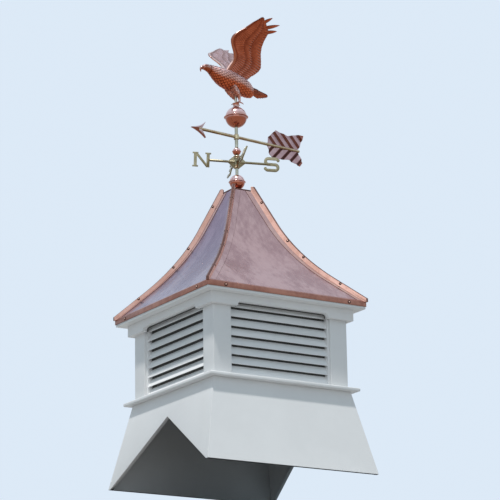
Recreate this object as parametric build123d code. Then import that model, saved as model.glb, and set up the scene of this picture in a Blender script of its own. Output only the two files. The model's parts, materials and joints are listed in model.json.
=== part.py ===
from build123d import *
import math
import os

# A square roof-ridge cupola with a concave copper roof and a turning eagle weathervane.
# Millimetres, +Z up. The origin is at the centre of the base, on the level of its two feet.
# The barn's ridge runs along X, so the front and back aprons stand on the two slopes.

# Flared base
BODY_W = 762.0          # across the outside of the corner posts
BASE_FOOT_W = 958.0     # across the aprons at their feet
BASE_TOP_W = 779.0      # across the aprons under the sill
BASE_H = 413.0          # feet to the underside of the sill
BOARD_T = 19.0          # apron board, measured level
ROOF_RISE_IN_12 = 7.5   # pitch of the barn roof that the side aprons are cut for

# Sill, posts, louvers and frieze
SILL_W = 847.0
SILL_T = 17.0
SILL_NOSE_R = 5.0
POST_W = 98.0
POST_EDGE = 2.5
OPENING_H = 337.0       # sill to the underside of the frieze boards
FRIEZE_H = 56.0
FRIEZE_T = 25.5
ARCH_RISE = 21.0        # the frieze is cut up this far over each louver
ARCH_INSET = 25.0       # from the post's edge to the side of that cut
ARCH_R = 20.0
LOUVER_RECESS = 12.0    # post face to louver frame
LOUVER_DEPTH = 34.0
STILE_W = 8.0
LOUVER_RAIL_H = 12.0
SLAT_COUNT = 8
SLAT_T = 5.0
SLAT_LENGTH = 46.0      # along the blade
SLAT_ANGLE = 62.0       # degrees above level

# Eave and roof
EAVE_W = 904.0
SOFFIT_SET_BACK = 2.0   # fascia to the edge of the soffit board
SOFFIT_T = 13.0
FASCIA_H = 22.0
ROOF_H = 618.0          # top of the fascia to the top plate
PLATE_W = 106.0         # the square that the roof is cut off at
KNEE_HALF = 199.0       # where the two straight slopes would meet, from the axis
KNEE_RISE = 257.0       # and above the fascia
BEND_R = 950.0          # bend between those slopes
SHEET_T = 3.0
RIB_W = 16.0
RIB_H = 18.0
RIB_NOSE = 8.0          # rib past the fascia
RIB_RISE = 22.0         # rib ends above the top plate
HIP_FLANGE_W = 22.0     # rib's side to the edge of its flange, level
HIP_FLANGE_T = 1.6
RAFTER_W = 38.0
RAFTER_H = 60.0
PEAK_BLOCK_H = 70.0

# Mast and its fixed pieces
ROD_D = 9.5
SLEEVE_D = 16.0
CAP_T = 4.0
CAP_LIP = 3.0           # cap plate past the roof's top square
CAP_NECK_D = 44.0
CAP_NECK_H = 13.0
LOWER_BALL_D = 78.0
LOWER_SEAM_D = 87.0
BALL_WALL = 2.0
SEAM_T = 3.0
SLEEVE_GAP_H = 33.0     # lower ball to hub
HUB_D = 26.0
HUB_H = 70.0
ARM_D = 12.5
GUSSET_REACH = 32.0
GUSSET_T = 7.0
FIN_INSET = 2.0         # hub's ends to its gussets
LETTER_R = 180.0        # mast to the middle of each letter
LETTER_H = 75.0
LETTER_W = 80.0
LETTER_T = 7.0
STROKE = 15.0
SERIF = 7.0
COMPASS_YAW = 159.0     # bearing of the N arm, degrees from +X
COMPASS_LEAN = 1.7      # N arm up, degrees
COMPASS_TIP = 5.0       # W arm down, degrees
LETTER_YAWS = {"n": 0, "e": -90, "s": 180, "w": 90}
LETTER_TWISTS = {"n": 0, "e": 12, "s": 0, "w": -18}     # about its arm, degrees
SMALL_BALL_D = 42.0
SMALL_SEAM_D = 46.0

# Turning part
RUNNING_FIT = 0.05      # radial, tube on rod
PIVOT_GAP = 0.3         # rod tip to the closed end of the tube
VANE_YAW = 186.3        # bearing of the arrow at rest
TUBE_GAP = 0.5          # small ball to the foot of the tube
TUBE_D = 17.5
ARROW_Z_UP = 55.5       # foot of the tube to the arrow
SHAFT_D = 15.5
ARROW_TIP = 286.0       # mast to tip
ARROW_TAIL = 408.0      # mast to the shaft's other end
COUPLING_D = 27.0
COUPLING_H = 29.0
COUPLING_EDGE = 5.0
HEAD_LENGTH = 88.0
HEAD_HALF_H = 42.0
HEAD_NECK = 62.0        # tip to the notch between the barbs
HEAD_T = 13.0
HEAD_EDGE_T = 2.5
SHAFT_IN_HEAD = 16.0     # the shaft's seat in the head
UPPER_FLETCH = ((-198.0, 0.0), (-208.0, 42.0), (-256.0, 87.0), (-332.0, 70.0),
                (-398.0, 88.0), (-443.0, 92.0), (-400.0, 0.0))     # along the shaft, away from it
LOWER_FLETCH = ((-198.0, 0.0), (-214.0, 50.0), (-234.0, 73.0), (-335.0, 58.0),
                (-414.0, 80.0), (-431.0, 58.0), (-400.0, 0.0))
FLETCH_T = 2.5
FOLD_PITCH = 41.0       # folds of the fletching, square to themselves
FOLD_STEEP_W = 12.0     # width of the steep side of a fold
FOLD_DEPTH = 7.0
FOLD_ANGLE = 47.0       # folds to the shaft, degrees
FOLD_H = 50.0           # distance from the shaft at which the first folds are placed
UPPER_FOLD_U = -267.0
LOWER_FOLD_U = -251.0
UPPER_BALL_D = 110.0
UPPER_SEAM_D = 124.0
BALL_ABOVE_ARROW = 105.0
PERCH_D = 35.0
PERCH_H = 20.0          # ball top to the perch, under the eagle's feet
PERCH_WAIST_D = 30.0
SPINDLE_D = 10.0        # from the perch up into the eagle
SPINDLE_H = 78.0
ROD_TIP_ABOVE_BALL = 24.0   # rod tip above the upper ball's centre

# Eagle, in its own frame: U forward, V to its left, heights above the perch
BODY_STATIONS = (       # U, height of the middle, half width, half height
    (208.0, 151.0, 8.0, 9.0),
    (196.0, 155.0, 14.0, 15.5),
    (176.0, 153.0, 18.0, 20.5),
    (153.0, 145.0, 21.0, 28.0),
    (113.0, 128.0, 34.0, 43.0),
    (55.0, 117.0, 44.0, 52.0),
    (0.0, 108.0, 45.0, 49.0),
    (-66.0, 93.0, 35.0, 44.0),
    (-88.0, 84.0, 28.0, 35.0),
    (-106.0, 77.0, 19.0, 24.0),
)
BEAK_STATIONS = (       # ahead of the front station, below its middle, tilt in degrees, radius
    (-6.0, 0.0, 0.0, 8.5),
    (7.0, 3.0, 22.0, 7.0),
    (15.0, 11.0, 55.0, 4.8),
    (18.0, 24.0, 82.0, 1.4),
)
WING_BANK = 10.0        # both wings rolled about its length, left one up
BANK_AXIS_H = 110.0
WING_DIHEDRAL = 60.0
WING_ROOT_V = 5.0
WING_ROOT_H = 40.0      # above the banking axis
WING_T = 4.0
WING_CAMBER_R = 1100.0
WING_CREST = 140.0      # root to the top of the camber
WING_LEADING = ((76.0, -4.0), (52.0, 43.0), (32.0, 76.0), (33.0, 108.0), (50.0, 133.0), (68.0, 160.0),
                (72.0, 184.0), (60.0, 206.0), (7.0, 248.0), (-38.0, 290.0), (-86.0, 326.0))     # U, out from root
WING_HAND = ((-86.0, 326.0), (-92.0, 300.0), (-152.0, 268.0), (-140.0, 232.0))
WING_TRAILING = ((-140.0, 232.0), (-126.0, 178.0), (-128.0, 141.0), (-140.0, 104.0), (-146.0, 69.0),
                 (-133.0, 48.0), (-107.0, 25.0), (-76.0, 5.0), (-58.0, -6.0))
PRIMARIES = (((-70.0, 285.0), (-146.0, 333.0)), ((-90.0, 268.0), (-201.0, 307.0)),
             ((-105.0, 245.0), (-195.0, 274.0)))    # long feathers past the hand, base and tip
FEATHER_W = 18.0
TAIL_T = 5.0
TAIL_HALF_W = 42.0
TAIL_ROOT_HALF_W = 13.0
TAIL_ROOT = -84.0
TAIL_WIDEST = -152.0
TAIL_END = -205.0
TAIL_ROOT_H = 104.0
TAIL_DROP = 13.0        # degrees
TAIL_ARCH = 12.0        # its middle over its sides
HIP_U = 37.0
HIP_V = 20.0
HIP_H = 82.0
HIP_R = 17.0
FOOT_U = -13.0
FOOT_V = 15.0
ANKLE_R = 5.5
ANKLE_H = 22.0
TOE_L = 24.0
TOE_R = 3.2
TOE_YAWS = (35.0, 0.0, -35.0, 180.0)

# Levels
z_sill = BASE_H
z_posts = z_sill + SILL_T
z_frieze = z_posts + OPENING_H
z_soffit = z_frieze + FRIEZE_H
z_eave = z_soffit + SOFFIT_T
z_foot = z_eave + FASCIA_H
z_plate = z_foot + ROOF_H
z_cap = z_plate + CAP_T
z_lower_ball = z_cap + CAP_NECK_H + LOWER_BALL_D / 2 - BALL_WALL
z_hub = z_lower_ball + LOWER_BALL_D / 2 + SLEEVE_GAP_H
z_arms = z_hub + HUB_H / 2
z_small_ball = z_hub + HUB_H + SMALL_BALL_D / 2
z_tube = z_small_ball + SMALL_BALL_D / 2 + TUBE_GAP
z_arrow = z_tube + ARROW_Z_UP
z_upper_ball = z_arrow + BALL_ABOVE_ARROW
z_perch = z_upper_ball + UPPER_BALL_D / 2 + PERCH_H
z_rod_tip = z_upper_ball + ROD_TIP_ABOVE_BALL

body_half = BODY_W / 2
post_inner = body_half - POST_W
foot_inner = BASE_FOOT_W / 2 - BOARD_T
pitch = ROOF_RISE_IN_12 / 12
ridge_z = foot_inner * pitch
FAR = 2 * BASE_FOOT_W   # longer than anything, for cutting blocks

SIDES = {"front": 0, "right": 90, "back": 180, "left": 270}


def face_of(points):
    """A flat face in the XY plane through the points."""
    return make_face(Polyline(*points, close=True))


def along_x(section, half_length):
    """Stands an XY sketch up in the YZ plane and draws it out both ways along X."""
    return extrude(Plane.YZ * section, half_length, both=True)


def wedge():
    """The front quarter of the plan, between the two diagonals."""
    plan = face_of([(0, 0), (-FAR, -FAR), (FAR, -FAR)])
    return Pos(0, 0, -FAR / 2) * extrude(plan, 2 * FAR)


def turned(shape, degrees):
    return Rot(0, 0, degrees) * shape


def frustum(foot_w, top_w, height):
    foot = Rectangle(foot_w, foot_w)
    top = Pos(0, 0, height) * Rectangle(top_w, top_w)
    return loft([foot, top], ruled=True)


def aprons():
    inset = 2 * BOARD_T
    shell = frustum(BASE_FOOT_W, BASE_TOP_W, BASE_H)
    shell -= frustum(BASE_FOOT_W - inset, BASE_TOP_W - inset, BASE_H)
    saddle = along_x(face_of([(-foot_inner, 0), (foot_inner, 0), (0, ridge_z)]), FAR)
    front = shell & wedge()
    return {
        "apron_front": front,
        "apron_back": turned(front, 180),
        "apron_right": turned(front, 90) - saddle,
        "apron_left": turned(front, 270) - saddle,
    }


def ring(outer, inner, thickness, z):
    return Pos(0, 0, z) * extrude(Rectangle(outer, outer) - Rectangle(inner, inner), thickness)


def sill():
    board = ring(SILL_W, 2 * post_inner, SILL_T, z_sill)
    half = SILL_W / 2 - 1
    nose = [e for e in board.edges().filter_by(GeomType.LINE)
            if abs(e.center().Z - z_sill - SILL_T / 2) > 1 and max(abs(e.center().X), abs(e.center().Y)) > half]
    return fillet(nose, SILL_NOSE_R)


def post():
    shape = Box(POST_W, POST_W, z_soffit - z_posts, align=(Align.CENTER, Align.CENTER, Align.MIN))
    shape = chamfer(shape.edges().filter_by(Axis.Z), POST_EDGE)
    return Pos(body_half - POST_W / 2, body_half - POST_W / 2, z_posts) * shape


def louver():
    """Front louver: a frame between the posts with sloping blades across it."""
    width = 2 * post_inner
    y_front = -body_half + LOUVER_RECESS
    y_back = y_front + LOUVER_DEPTH
    height = z_soffit - z_posts
    clear_h = height - 2 * LOUVER_RAIL_H
    outer = Pos(0, height / 2) * Rectangle(width, height)
    light = Pos(0, LOUVER_RAIL_H + clear_h / 2) * Rectangle(width - 2 * STILE_W, clear_h)
    frame = extrude(Plane.XZ.offset(-y_front) * (outer - light), -LOUVER_DEPTH)
    frame = Pos(0, 0, z_posts) * frame
    blade_run = SLAT_LENGTH * math.cos(math.radians(SLAT_ANGLE))
    blade_rise = SLAT_LENGTH * math.sin(math.radians(SLAT_ANGLE))
    level_t = SLAT_T / math.sin(math.radians(SLAT_ANGLE))
    y_blade = (y_front + y_back - blade_run - level_t) / 2
    step = clear_h / SLAT_COUNT
    section = face_of([(y_blade, 0), (y_blade + blade_run, blade_rise),
                       (y_blade + blade_run + level_t, blade_rise), (y_blade + level_t, 0)])
    blade = along_x(section, width / 2 - STILE_W)
    first_z = z_posts + LOUVER_RAIL_H + (step - blade_rise) / 2
    for row in range(SLAT_COUNT):
        frame += Pos(0, 0, first_z + row * step) * blade
    return frame


def frieze():
    """Front frieze board, mitred at the corners and cut up over the louver."""
    outer_half = body_half + FRIEZE_T
    cut_half = post_inner - ARCH_INSET
    board = Pos(0, z_frieze + FRIEZE_H / 2) * Rectangle(2 * outer_half, FRIEZE_H)
    arch = Pos(0, z_frieze) * Rectangle(2 * cut_half, 2 * ARCH_RISE)
    arch = fillet(arch.vertices(), min(ARCH_R, 0.95 * ARCH_RISE))
    front = Plane.XZ.offset(body_half)
    return extrude(front * (board - arch), FRIEZE_T) & wedge()


def soffit():
    return ring(EAVE_W - 2 * SOFFIT_SET_BACK, 2 * post_inner, SOFFIT_T, z_soffit)


def roof_section(out, foot_half, z_low, z_high):
    """Half of the roof's cross-section, (distance from the axis, height), moved out by a distance.

    Two straight slopes are joined by a bend whose centre lies outside the roof."""
    foot = Vector(EAVE_W / 2, z_foot)
    knee = Vector(KNEE_HALF, z_foot + KNEE_RISE)
    head = Vector(PLATE_W / 2, z_plate)
    lower = (foot - knee).normalized()
    upper = (head - knee).normalized()
    turn = math.radians(180 - lower.get_angle(upper))
    leg = min((foot - knee).length, (head - knee).length)
    bend = min(BEND_R, 0.95 * leg / math.tan(turn / 2))
    reach = bend * math.tan(turn / 2)
    lower_out = Vector(-lower.Y, lower.X)
    upper_out = Vector(upper.Y, -upper.X)
    start = knee + lower * reach + lower_out * out
    end = knee + upper * reach + upper_out * out
    towards = (lower + upper).normalized()
    centre = knee + towards * (bend / math.cos(turn / 2))
    middle = centre - towards * (bend - out)
    foot_rise = start.Y + (foot_half - start.X) * lower.Y / lower.X
    head_x = end.X + (z_high - end.Y) * upper.X / upper.Y
    edges = [
        Line((0, z_low), (foot_half, z_low)),
        Line((foot_half, z_low), (foot_half, foot_rise)),
        Line((foot_half, foot_rise), (start.X, start.Y)),
        ThreePointArc((start.X, start.Y), (middle.X, middle.Y), (end.X, end.Y)),
        Line((end.X, end.Y), (head_x, z_high)),
        Line((head_x, z_high), (0, z_high)),
        Line((0, z_high), (0, z_low)),
    ]
    half = make_face(edges)
    return half + mirror(half, Plane.YZ)


def roof_mass(out, foot_half, z_low, z_high):
    """The square roof as a solid: one section drawn out along X and along Y, and what they share."""
    one_way = along_x(roof_section(out, foot_half, z_low, z_high), FAR / 2)
    return one_way & turned(one_way, 90)


def roof_sheets(outer):
    inner = roof_mass(-SHEET_T, EAVE_W / 2 - SHEET_T, z_eave - 1, z_plate + 1)
    shell = outer - inner
    front = shell & wedge()
    return {"roof_sheet_" + side: turned(front, angle) for side, angle in SIDES.items()}


def hip_slab(width):
    """A block along the front right diagonal."""
    slab = Pos(FAR / 2, 0, FAR / 2) * Box(FAR, width, 2 * FAR)
    return turned(slab, -45)


def hip_ribs(outer):
    """Folded caps over the hips: a raised rib with a flange on the sheet at each side."""
    raised = roof_mass(RIB_H, EAVE_W / 2 + RIB_NOSE, z_foot, z_plate + RIB_RISE)
    skin = roof_mass(HIP_FLANGE_T, EAVE_W / 2, z_foot, z_plate)
    cap_w = PLATE_W + 2 * CAP_LIP
    axis_clear = Pos(0, 0, z_plate) * Box(cap_w, cap_w, 2 * RIB_RISE + 2 * CAP_T)
    rib = (raised & hip_slab(RIB_W)) + (skin & hip_slab(RIB_W + 2 * HIP_FLANGE_W))
    rib = rib - outer - axis_clear
    corners = {"front_right": 0, "back_right": 90, "back_left": 180, "front_left": 270}
    return {"hip_rib_" + name: turned(rib, angle) for name, angle in corners.items()}


def roof_frame():
    """Four curved hip rafters and the block that they meet at under the top plate."""
    under = roof_mass(-SHEET_T, EAVE_W / 2 - SHEET_T, z_eave, z_plate)
    inside = roof_mass(-SHEET_T - RAFTER_H, EAVE_W / 2 - SHEET_T - RAFTER_H, z_eave - 1, z_plate + 1)
    rafter = (under - inside) & hip_slab(RAFTER_W)
    block = Pos(0, 0, z_plate - PEAK_BLOCK_H) * extrude(Rectangle(PLATE_W, PLATE_W), PEAK_BLOCK_H)
    frame = block & under
    for angle in (0, 90, 180, 270):
        frame += turned(rafter, angle)
    return frame - Cylinder(ROD_D / 2, 3 * z_plate)


def roof_cap():
    plate = extrude(Rectangle(PLATE_W + 2 * CAP_LIP, PLATE_W + 2 * CAP_LIP), CAP_T)
    neck = Pos(0, 0, CAP_T) * Cone(CAP_NECK_D / 2, CAP_NECK_D / 3, CAP_NECK_H,
                                   align=(Align.CENTER, Align.CENTER, Align.MIN))
    ball = Pos(0, 0, z_lower_ball - z_plate) * Sphere(LOWER_BALL_D / 2)
    return Pos(0, 0, z_plate) * (plate + neck - ball) - Cylinder(SLEEVE_D / 2, 3 * z_plate)


def seamed_ball(diameter, seam, bore):
    """A spun ball of two halves that meet in a flange, on a tube."""
    outer = Sphere(diameter / 2) + Cylinder(seam / 2, SEAM_T)
    return outer - Sphere(diameter / 2 - BALL_WALL) - Cylinder(bore / 2, 2 * diameter)


def mast():
    """Steel rod with a sleeve from the roof cap up to the hub."""
    foot = z_plate - PEAK_BLOCK_H
    rod = Pos(0, 0, foot) * Cylinder(ROD_D / 2, z_rod_tip - foot, align=(Align.CENTER, Align.CENTER, Align.MIN))
    sleeve = Pos(0, 0, z_plate) * Cylinder(SLEEVE_D / 2, z_hub - z_plate,
                                           align=(Align.CENTER, Align.CENTER, Align.MIN))
    return rod + sleeve


def compass_arm(reach):
    return Pos(reach / 2, 0, z_arms) * Rot(0, 90, 0) * Cylinder(ARM_D / 2, reach)


def arm_reaches():
    """How far each arm runs from the mast before it meets its letter's nearest stroke."""
    edge = LETTER_R - LETTER_W / 2
    first_stroke_of_w = LETTER_R - 1.5 * (LETTER_W - STROKE) / 4
    return {"n": edge, "e": edge, "s": LETTER_R - STROKE / 2, "w": first_stroke_of_w}


def compass_hub():
    """Hub casting with a gusset behind each arm; it comes without its bore."""
    hub = Pos(0, 0, z_hub) * Cylinder(HUB_D / 2, HUB_H, align=(Align.CENTER, Align.CENTER, Align.MIN))
    fin = face_of([(0, z_hub + FIN_INSET), (HUB_D / 2, z_hub + FIN_INSET),
                   (HUB_D / 2 + GUSSET_REACH, z_arms - ARM_D / 3), (HUB_D / 2 + GUSSET_REACH, z_arms + ARM_D / 3),
                   (HUB_D / 2, z_hub + HUB_H - FIN_INSET), (0, z_hub + HUB_H - FIN_INSET)])
    fin = extrude(Plane.XZ * fin, GUSSET_T / 2, both=True)
    for name, reach in arm_reaches().items():
        hub += turned(compass_arm(reach) + fin, LETTER_YAWS[name])
    return hub


def compass():
    """Hub and letters, leaning a little on the mast with the north arm up and the west arm down."""
    lean = Pos(0, 0, z_arms) * Rot(-COMPASS_TIP, -COMPASS_LEAN, 0) * Pos(0, 0, -z_arms)
    pieces = {"compass_hub": compass_hub()}
    pieces.update(letters())
    pieces = {name: turned(lean * shape, COMPASS_YAW) for name, shape in pieces.items()}
    pieces["compass_hub"] -= mast()
    return pieces


def bar(start, end, width):
    """A straight stroke with square ends."""
    run = Vector(*end) - Vector(*start)
    angle = math.degrees(math.atan2(run.Y, run.X))
    middle = (Vector(*start) + Vector(*end)) / 2
    return Pos(middle.X, middle.Y) * Rot(0, 0, angle) * Rectangle(run.length, width)


def letter_n(w, h):
    x = (w - STROKE) / 2
    shape = bar((-x, -h), (-x, h), STROKE) + bar((x, -h), (x, h), STROKE)
    shape += face_of([(-x - STROKE / 2, h), (-x + STROKE / 2, h), (x + STROKE / 2, -h), (x - STROKE / 2, -h)])
    for side_x, side_y in ((-x, -h), (-x, h), (x, h)):
        foot_y = side_y - math.copysign(SERIF / 2, side_y)
        shape += Pos(side_x, foot_y) * Rectangle(STROKE + 2 * SERIF, SERIF)
    return shape


def letter_e(w, h):
    x = -(w - STROKE) / 2
    shape = bar((x, -h), (x, h), STROKE)
    for level, length in ((-h + STROKE / 2, w), (0, 0.75 * w), (h - STROKE / 2, w)):
        shape += Pos(-w / 2 + length / 2, level) * Rectangle(length, STROKE)
    return shape


def letter_w(w, h):
    quarter = (w - STROKE) / 4
    shape = bar((-2 * quarter, h), (-quarter, -h), STROKE)
    for start, end in (((-quarter, -h), (0, h)), ((0, h), (quarter, -h)), ((quarter, -h), (2 * quarter, h))):
        shape += bar(start, end, STROKE)
    return shape & Rectangle(w + 2 * SERIF, 2 * h)


def letter_s(w, h):
    """Two flat bowls, each left open on one side, with round ends."""
    bowl_h = h + STROKE / 2
    corner_r = 0.49 * bowl_h
    bowl = RectangleRounded(w, bowl_h, corner_r)
    bowl -= RectangleRounded(w - 2 * STROKE, bowl_h - 2 * STROKE, corner_r - STROKE)
    end_y = bowl_h / 4 - STROKE / 4
    gap = Pos(w / 2, end_y - h) * Rectangle(w, 2 * h)
    end = Pos((w - STROKE) / 2, end_y) * Circle(STROKE / 2)
    upper = Pos(0, (bowl_h - STROKE) / 2) * (bowl - gap + end)
    return upper + Rot(0, 0, 180) * upper


def letters():
    """Cast letters on the ends of the four arms, each in the upright plane of its arm."""
    outlines = {"n": letter_n, "e": letter_e, "s": letter_s, "w": letter_w}
    reaches = arm_reaches()
    done = {}
    for name, outline in outlines.items():
        solid = extrude(Plane.XZ * outline(LETTER_W, LETTER_H / 2), LETTER_T / 2, both=True)
        if name in "nw":
            solid = turned(solid, 180)
        solid = Pos(LETTER_R, 0, z_arms) * Rot(LETTER_TWISTS[name], 0, 0) * solid - compass_arm(reaches[name])
        done["letter_" + name] = turned(solid, LETTER_YAWS[name])
    return done


def small_ball():
    ball = Sphere(SMALL_BALL_D / 2) + Cylinder(SMALL_SEAM_D / 2, SEAM_T)
    return Pos(0, 0, z_small_ball) * (ball - Cylinder(ROD_D / 2, 2 * SMALL_BALL_D))


def vane_tube():
    """Tube that turns on the mast, closed above the rod's tip, with the spindle that carries the eagle."""
    stand = (Align.CENTER, Align.CENTER, Align.MIN)
    tube = Pos(0, 0, z_tube) * Cylinder(TUBE_D / 2, z_perch - z_tube, align=stand)
    tube += Pos(0, 0, z_perch) * Cylinder(SPINDLE_D / 2, SPINDLE_H, align=stand)
    bore_top = z_rod_tip + PIVOT_GAP
    return tube - Pos(0, 0, z_tube) * Cylinder(ROD_D / 2 + RUNNING_FIT, bore_top - z_tube, align=stand)


def vane_plane():
    """The upright plane of the arrow, X forward and Y up."""
    return Plane(origin=(0, 0, 0), x_dir=(1, 0, 0), z_dir=(0, -1, 0))


def arrow_shaft():
    front = ARROW_TIP - HEAD_NECK + SHAFT_IN_HEAD
    length = front + ARROW_TAIL
    shaft = Pos((front - ARROW_TAIL) / 2, 0, z_arrow) * Rot(0, 90, 0) * Cylinder(SHAFT_D / 2, length)
    coupling = Cylinder(COUPLING_D / 2, COUPLING_H)
    coupling = Pos(0, 0, z_arrow) * fillet(coupling.edges().filter_by(GeomType.CIRCLE), COUPLING_EDGE)
    return shaft + coupling - Cylinder(TUBE_D / 2, 4 * z_plate)


def arrow_head():
    """Swept head with hollow leading edges, ridged along its middle."""
    tip = (ARROW_TIP, z_arrow)
    edges = []
    for side in (1, -1):
        barb = (ARROW_TIP - HEAD_LENGTH, z_arrow + side * HEAD_HALF_H)
        notch = (ARROW_TIP - HEAD_NECK, z_arrow)
        hollow = (ARROW_TIP - 0.52 * HEAD_LENGTH, z_arrow + side * 0.36 * HEAD_HALF_H)
        edges += [ThreePointArc(tip, hollow, barb), Line(barb, notch)]
    outline = make_face(edges)
    head = extrude(vane_plane() * outline, HEAD_T / 2, both=True)
    slope = math.degrees(math.atan2((HEAD_T - HEAD_EDGE_T) / 2, HEAD_HALF_H))
    for side in (1, -1):
        for tilt in (1, -1):
            block = Pos(0, tilt * (HEAD_T / 2 + FAR / 2), 0) * Box(FAR, FAR, FAR)
            head -= Pos(0, 0, z_arrow) * Rot(side * tilt * -slope, 0, 0) * block & half_space(side)
    shaft = Pos(0, 0, z_arrow) * Rot(0, 90, 0) * Cylinder(SHAFT_D / 2, 2 * (ARROW_TIP - HEAD_NECK + SHAFT_IN_HEAD))
    return head - shaft


def half_space(side):
    """All that lies above the arrow's middle (side 1) or below it (side -1)."""
    return Pos(0, 0, z_arrow + side * FAR / 2) * Box(2 * FAR, 2 * FAR, FAR)


def folded_sheet(first_fold_u):
    """A sheet with sharp diagonal folds, wide faces looking up and narrow steep ones looking down."""
    tilt = math.radians(FOLD_ANGLE)
    half_steep = FOLD_STEEP_W / 2
    folds = math.ceil(ARROW_TAIL / FOLD_PITCH)
    front = []
    for k in range(-folds, folds):
        front += [(k * FOLD_PITCH - half_steep, FOLD_DEPTH / 2), (k * FOLD_PITCH + half_steep, -FOLD_DEPTH / 2)]
    back = [(along, out - FLETCH_T) for along, out in reversed(front)]
    profile = Pos(0, FLETCH_T / 2) * face_of(front + back)
    along_fold = Vector(math.cos(tilt), 0, math.sin(tilt))
    across = Vector(-math.sin(tilt), 0, math.cos(tilt))
    place = Plane(origin=(first_fold_u, 0, z_arrow + FOLD_H), x_dir=across, z_dir=along_fold)
    return extrude(place * profile, FAR / 4, both=True)


def arrow_fletching():
    """Two folded vanes, one above the shaft and one below it."""
    pivot = Pos(0, 0, z_arrow)
    halves = []
    for outline, first_fold_u in ((UPPER_FLETCH, UPPER_FOLD_U), (LOWER_FLETCH, LOWER_FOLD_U)):
        blank = face_of([(u, z_arrow + out) for u, out in outline])
        blank = extrude(vane_plane() * blank, FOLD_DEPTH + FLETCH_T, both=True)
        halves.append(folded_sheet(first_fold_u) & blank)
    upper, lower = halves
    lower = pivot * Rot(180, 0, 0) * pivot.inverse() * lower
    shaft = pivot * Rot(0, 90, 0) * Cylinder(SHAFT_D / 2, 2 * ARROW_TAIL)
    return upper + lower - shaft


def upper_ball():
    """Large seamed ball and the waisted perch on it that the eagle stands on."""
    ball = Pos(0, 0, z_upper_ball) * seamed_ball(UPPER_BALL_D, UPPER_SEAM_D, TUBE_D)
    foot_z = z_upper_ball + math.sqrt((UPPER_BALL_D / 2) ** 2 - (PERCH_D / 2) ** 2) - BALL_WALL / 2
    side = ThreePointArc((PERCH_D / 2, foot_z), (PERCH_WAIST_D / 2, (foot_z + z_perch) / 2), (PERCH_D / 2, z_perch))
    edges = [side, Line((PERCH_D / 2, z_perch), (0, z_perch)), Line((0, z_perch), (0, foot_z)),
             Line((0, foot_z), (PERCH_D / 2, foot_z))]
    perch = revolve(Plane.XZ * make_face(edges), Axis.Z)
    perch -= Pos(0, 0, z_upper_ball) * Sphere(UPPER_BALL_D / 2 - BALL_WALL)
    return ball + perch - vane_tube()


def station(u, height, half_w, half_h):
    """A body cross-section, square to U."""
    plane = Plane(origin=(u, 0, z_perch + height), x_dir=(0, 1, 0), z_dir=(1, 0, 0))
    return plane * Ellipse(half_w, half_h)


def banked(shape):
    """Rolls a wing about the eagle's length, left side up."""
    pivot = Pos(0, 0, z_perch + BANK_AXIS_H)
    return pivot * Rot(WING_BANK, 0, 0) * pivot.inverse() * shape


def eagle_body():
    body = loft([station(*values) for values in reversed(BODY_STATIONS)])
    beak_base, height = BODY_STATIONS[0][0], BODY_STATIONS[0][1]
    rings = []
    for ahead, down, tilt, radius in BEAK_STATIONS:
        plane = Plane(origin=(beak_base + ahead, 0, z_perch + height - down), x_dir=(0, 1, 0),
                      z_dir=(math.cos(math.radians(tilt)), 0, -math.sin(math.radians(tilt))))
        rings.append(plane * Circle(radius))
    return body + loft(rings)


def feather(base, tip, width):
    """A long pointed feather: two arcs from its base to its tip."""
    run = Vector(*tip) - Vector(*base)
    side = Vector(-run.Y, run.X).normalized() * width / 2
    middle = (Vector(*base) + Vector(*tip)) / 2
    upper = middle + side
    lower = middle - side
    return make_face([ThreePointArc(base, (upper.X, upper.Y), tip), ThreePointArc(tip, (lower.X, lower.Y), base)])


def wing_outline():
    """Wing in its own plane: X forward, Y outward from the root."""
    root = Line(WING_TRAILING[-1], WING_LEADING[0])
    shape = make_face([Spline(*WING_LEADING), Polyline(*WING_HAND), Spline(*WING_TRAILING), root])
    for base, end in PRIMARIES:
        shape += feather(base, end, FEATHER_W)
    return shape


def wing():
    """Left wing lying level: the outline cut out of a sheet that droops to its root and its tip."""
    bend = Circle(WING_CAMBER_R) - Circle(WING_CAMBER_R - WING_T)
    strip = Pos(WING_CREST, -WING_CAMBER_R) * (bend & Pos(0, WING_CAMBER_R) * Rectangle(FAR, WING_CAMBER_R))
    return along_x(strip, FAR / 2) & extrude(wing_outline(), WING_CAMBER_R, both=True)


def eagle_wings():
    flat = wing()
    left_frame = Pos(0, WING_ROOT_V, z_perch + BANK_AXIS_H + WING_ROOT_H) * Rot(WING_DIHEDRAL, 0, 0)
    left = left_frame * flat
    right = mirror(left, Plane.XZ)
    return {"eagle_left_wing": banked(left), "eagle_right_wing": banked(right)}


def eagle_tail():
    """Arched fan, narrow at its root and rounded at its end."""
    side = ((TAIL_ROOT, TAIL_ROOT_HALF_W), (TAIL_WIDEST, TAIL_HALF_W), (TAIL_END, 0.45 * TAIL_HALF_W))
    other = [(u, -v) for u, v in reversed(side)]
    fan = make_face([Spline(*side), Line(side[-1], other[0]), Spline(*other), Line(other[-1], side[0])])
    arch_r = (TAIL_HALF_W ** 2 + TAIL_ARCH ** 2) / (2 * TAIL_ARCH)
    sheet = Circle(arch_r) - Circle(arch_r - TAIL_T)
    sheet = extrude(Plane.YZ * (Pos(0, TAIL_T / 2 - arch_r) * sheet), FAR / 4, both=True)
    upper_half = Pos(0, 0, FAR / 4 - arch_r) * Box(FAR, FAR, FAR / 2)
    fan = sheet & extrude(fan, arch_r, both=True) & upper_half
    return Pos(TAIL_ROOT, 0, z_perch + TAIL_ROOT_H) * Rot(0, -TAIL_DROP, 0) * Pos(-TAIL_ROOT, 0, 0) * fan


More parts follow.
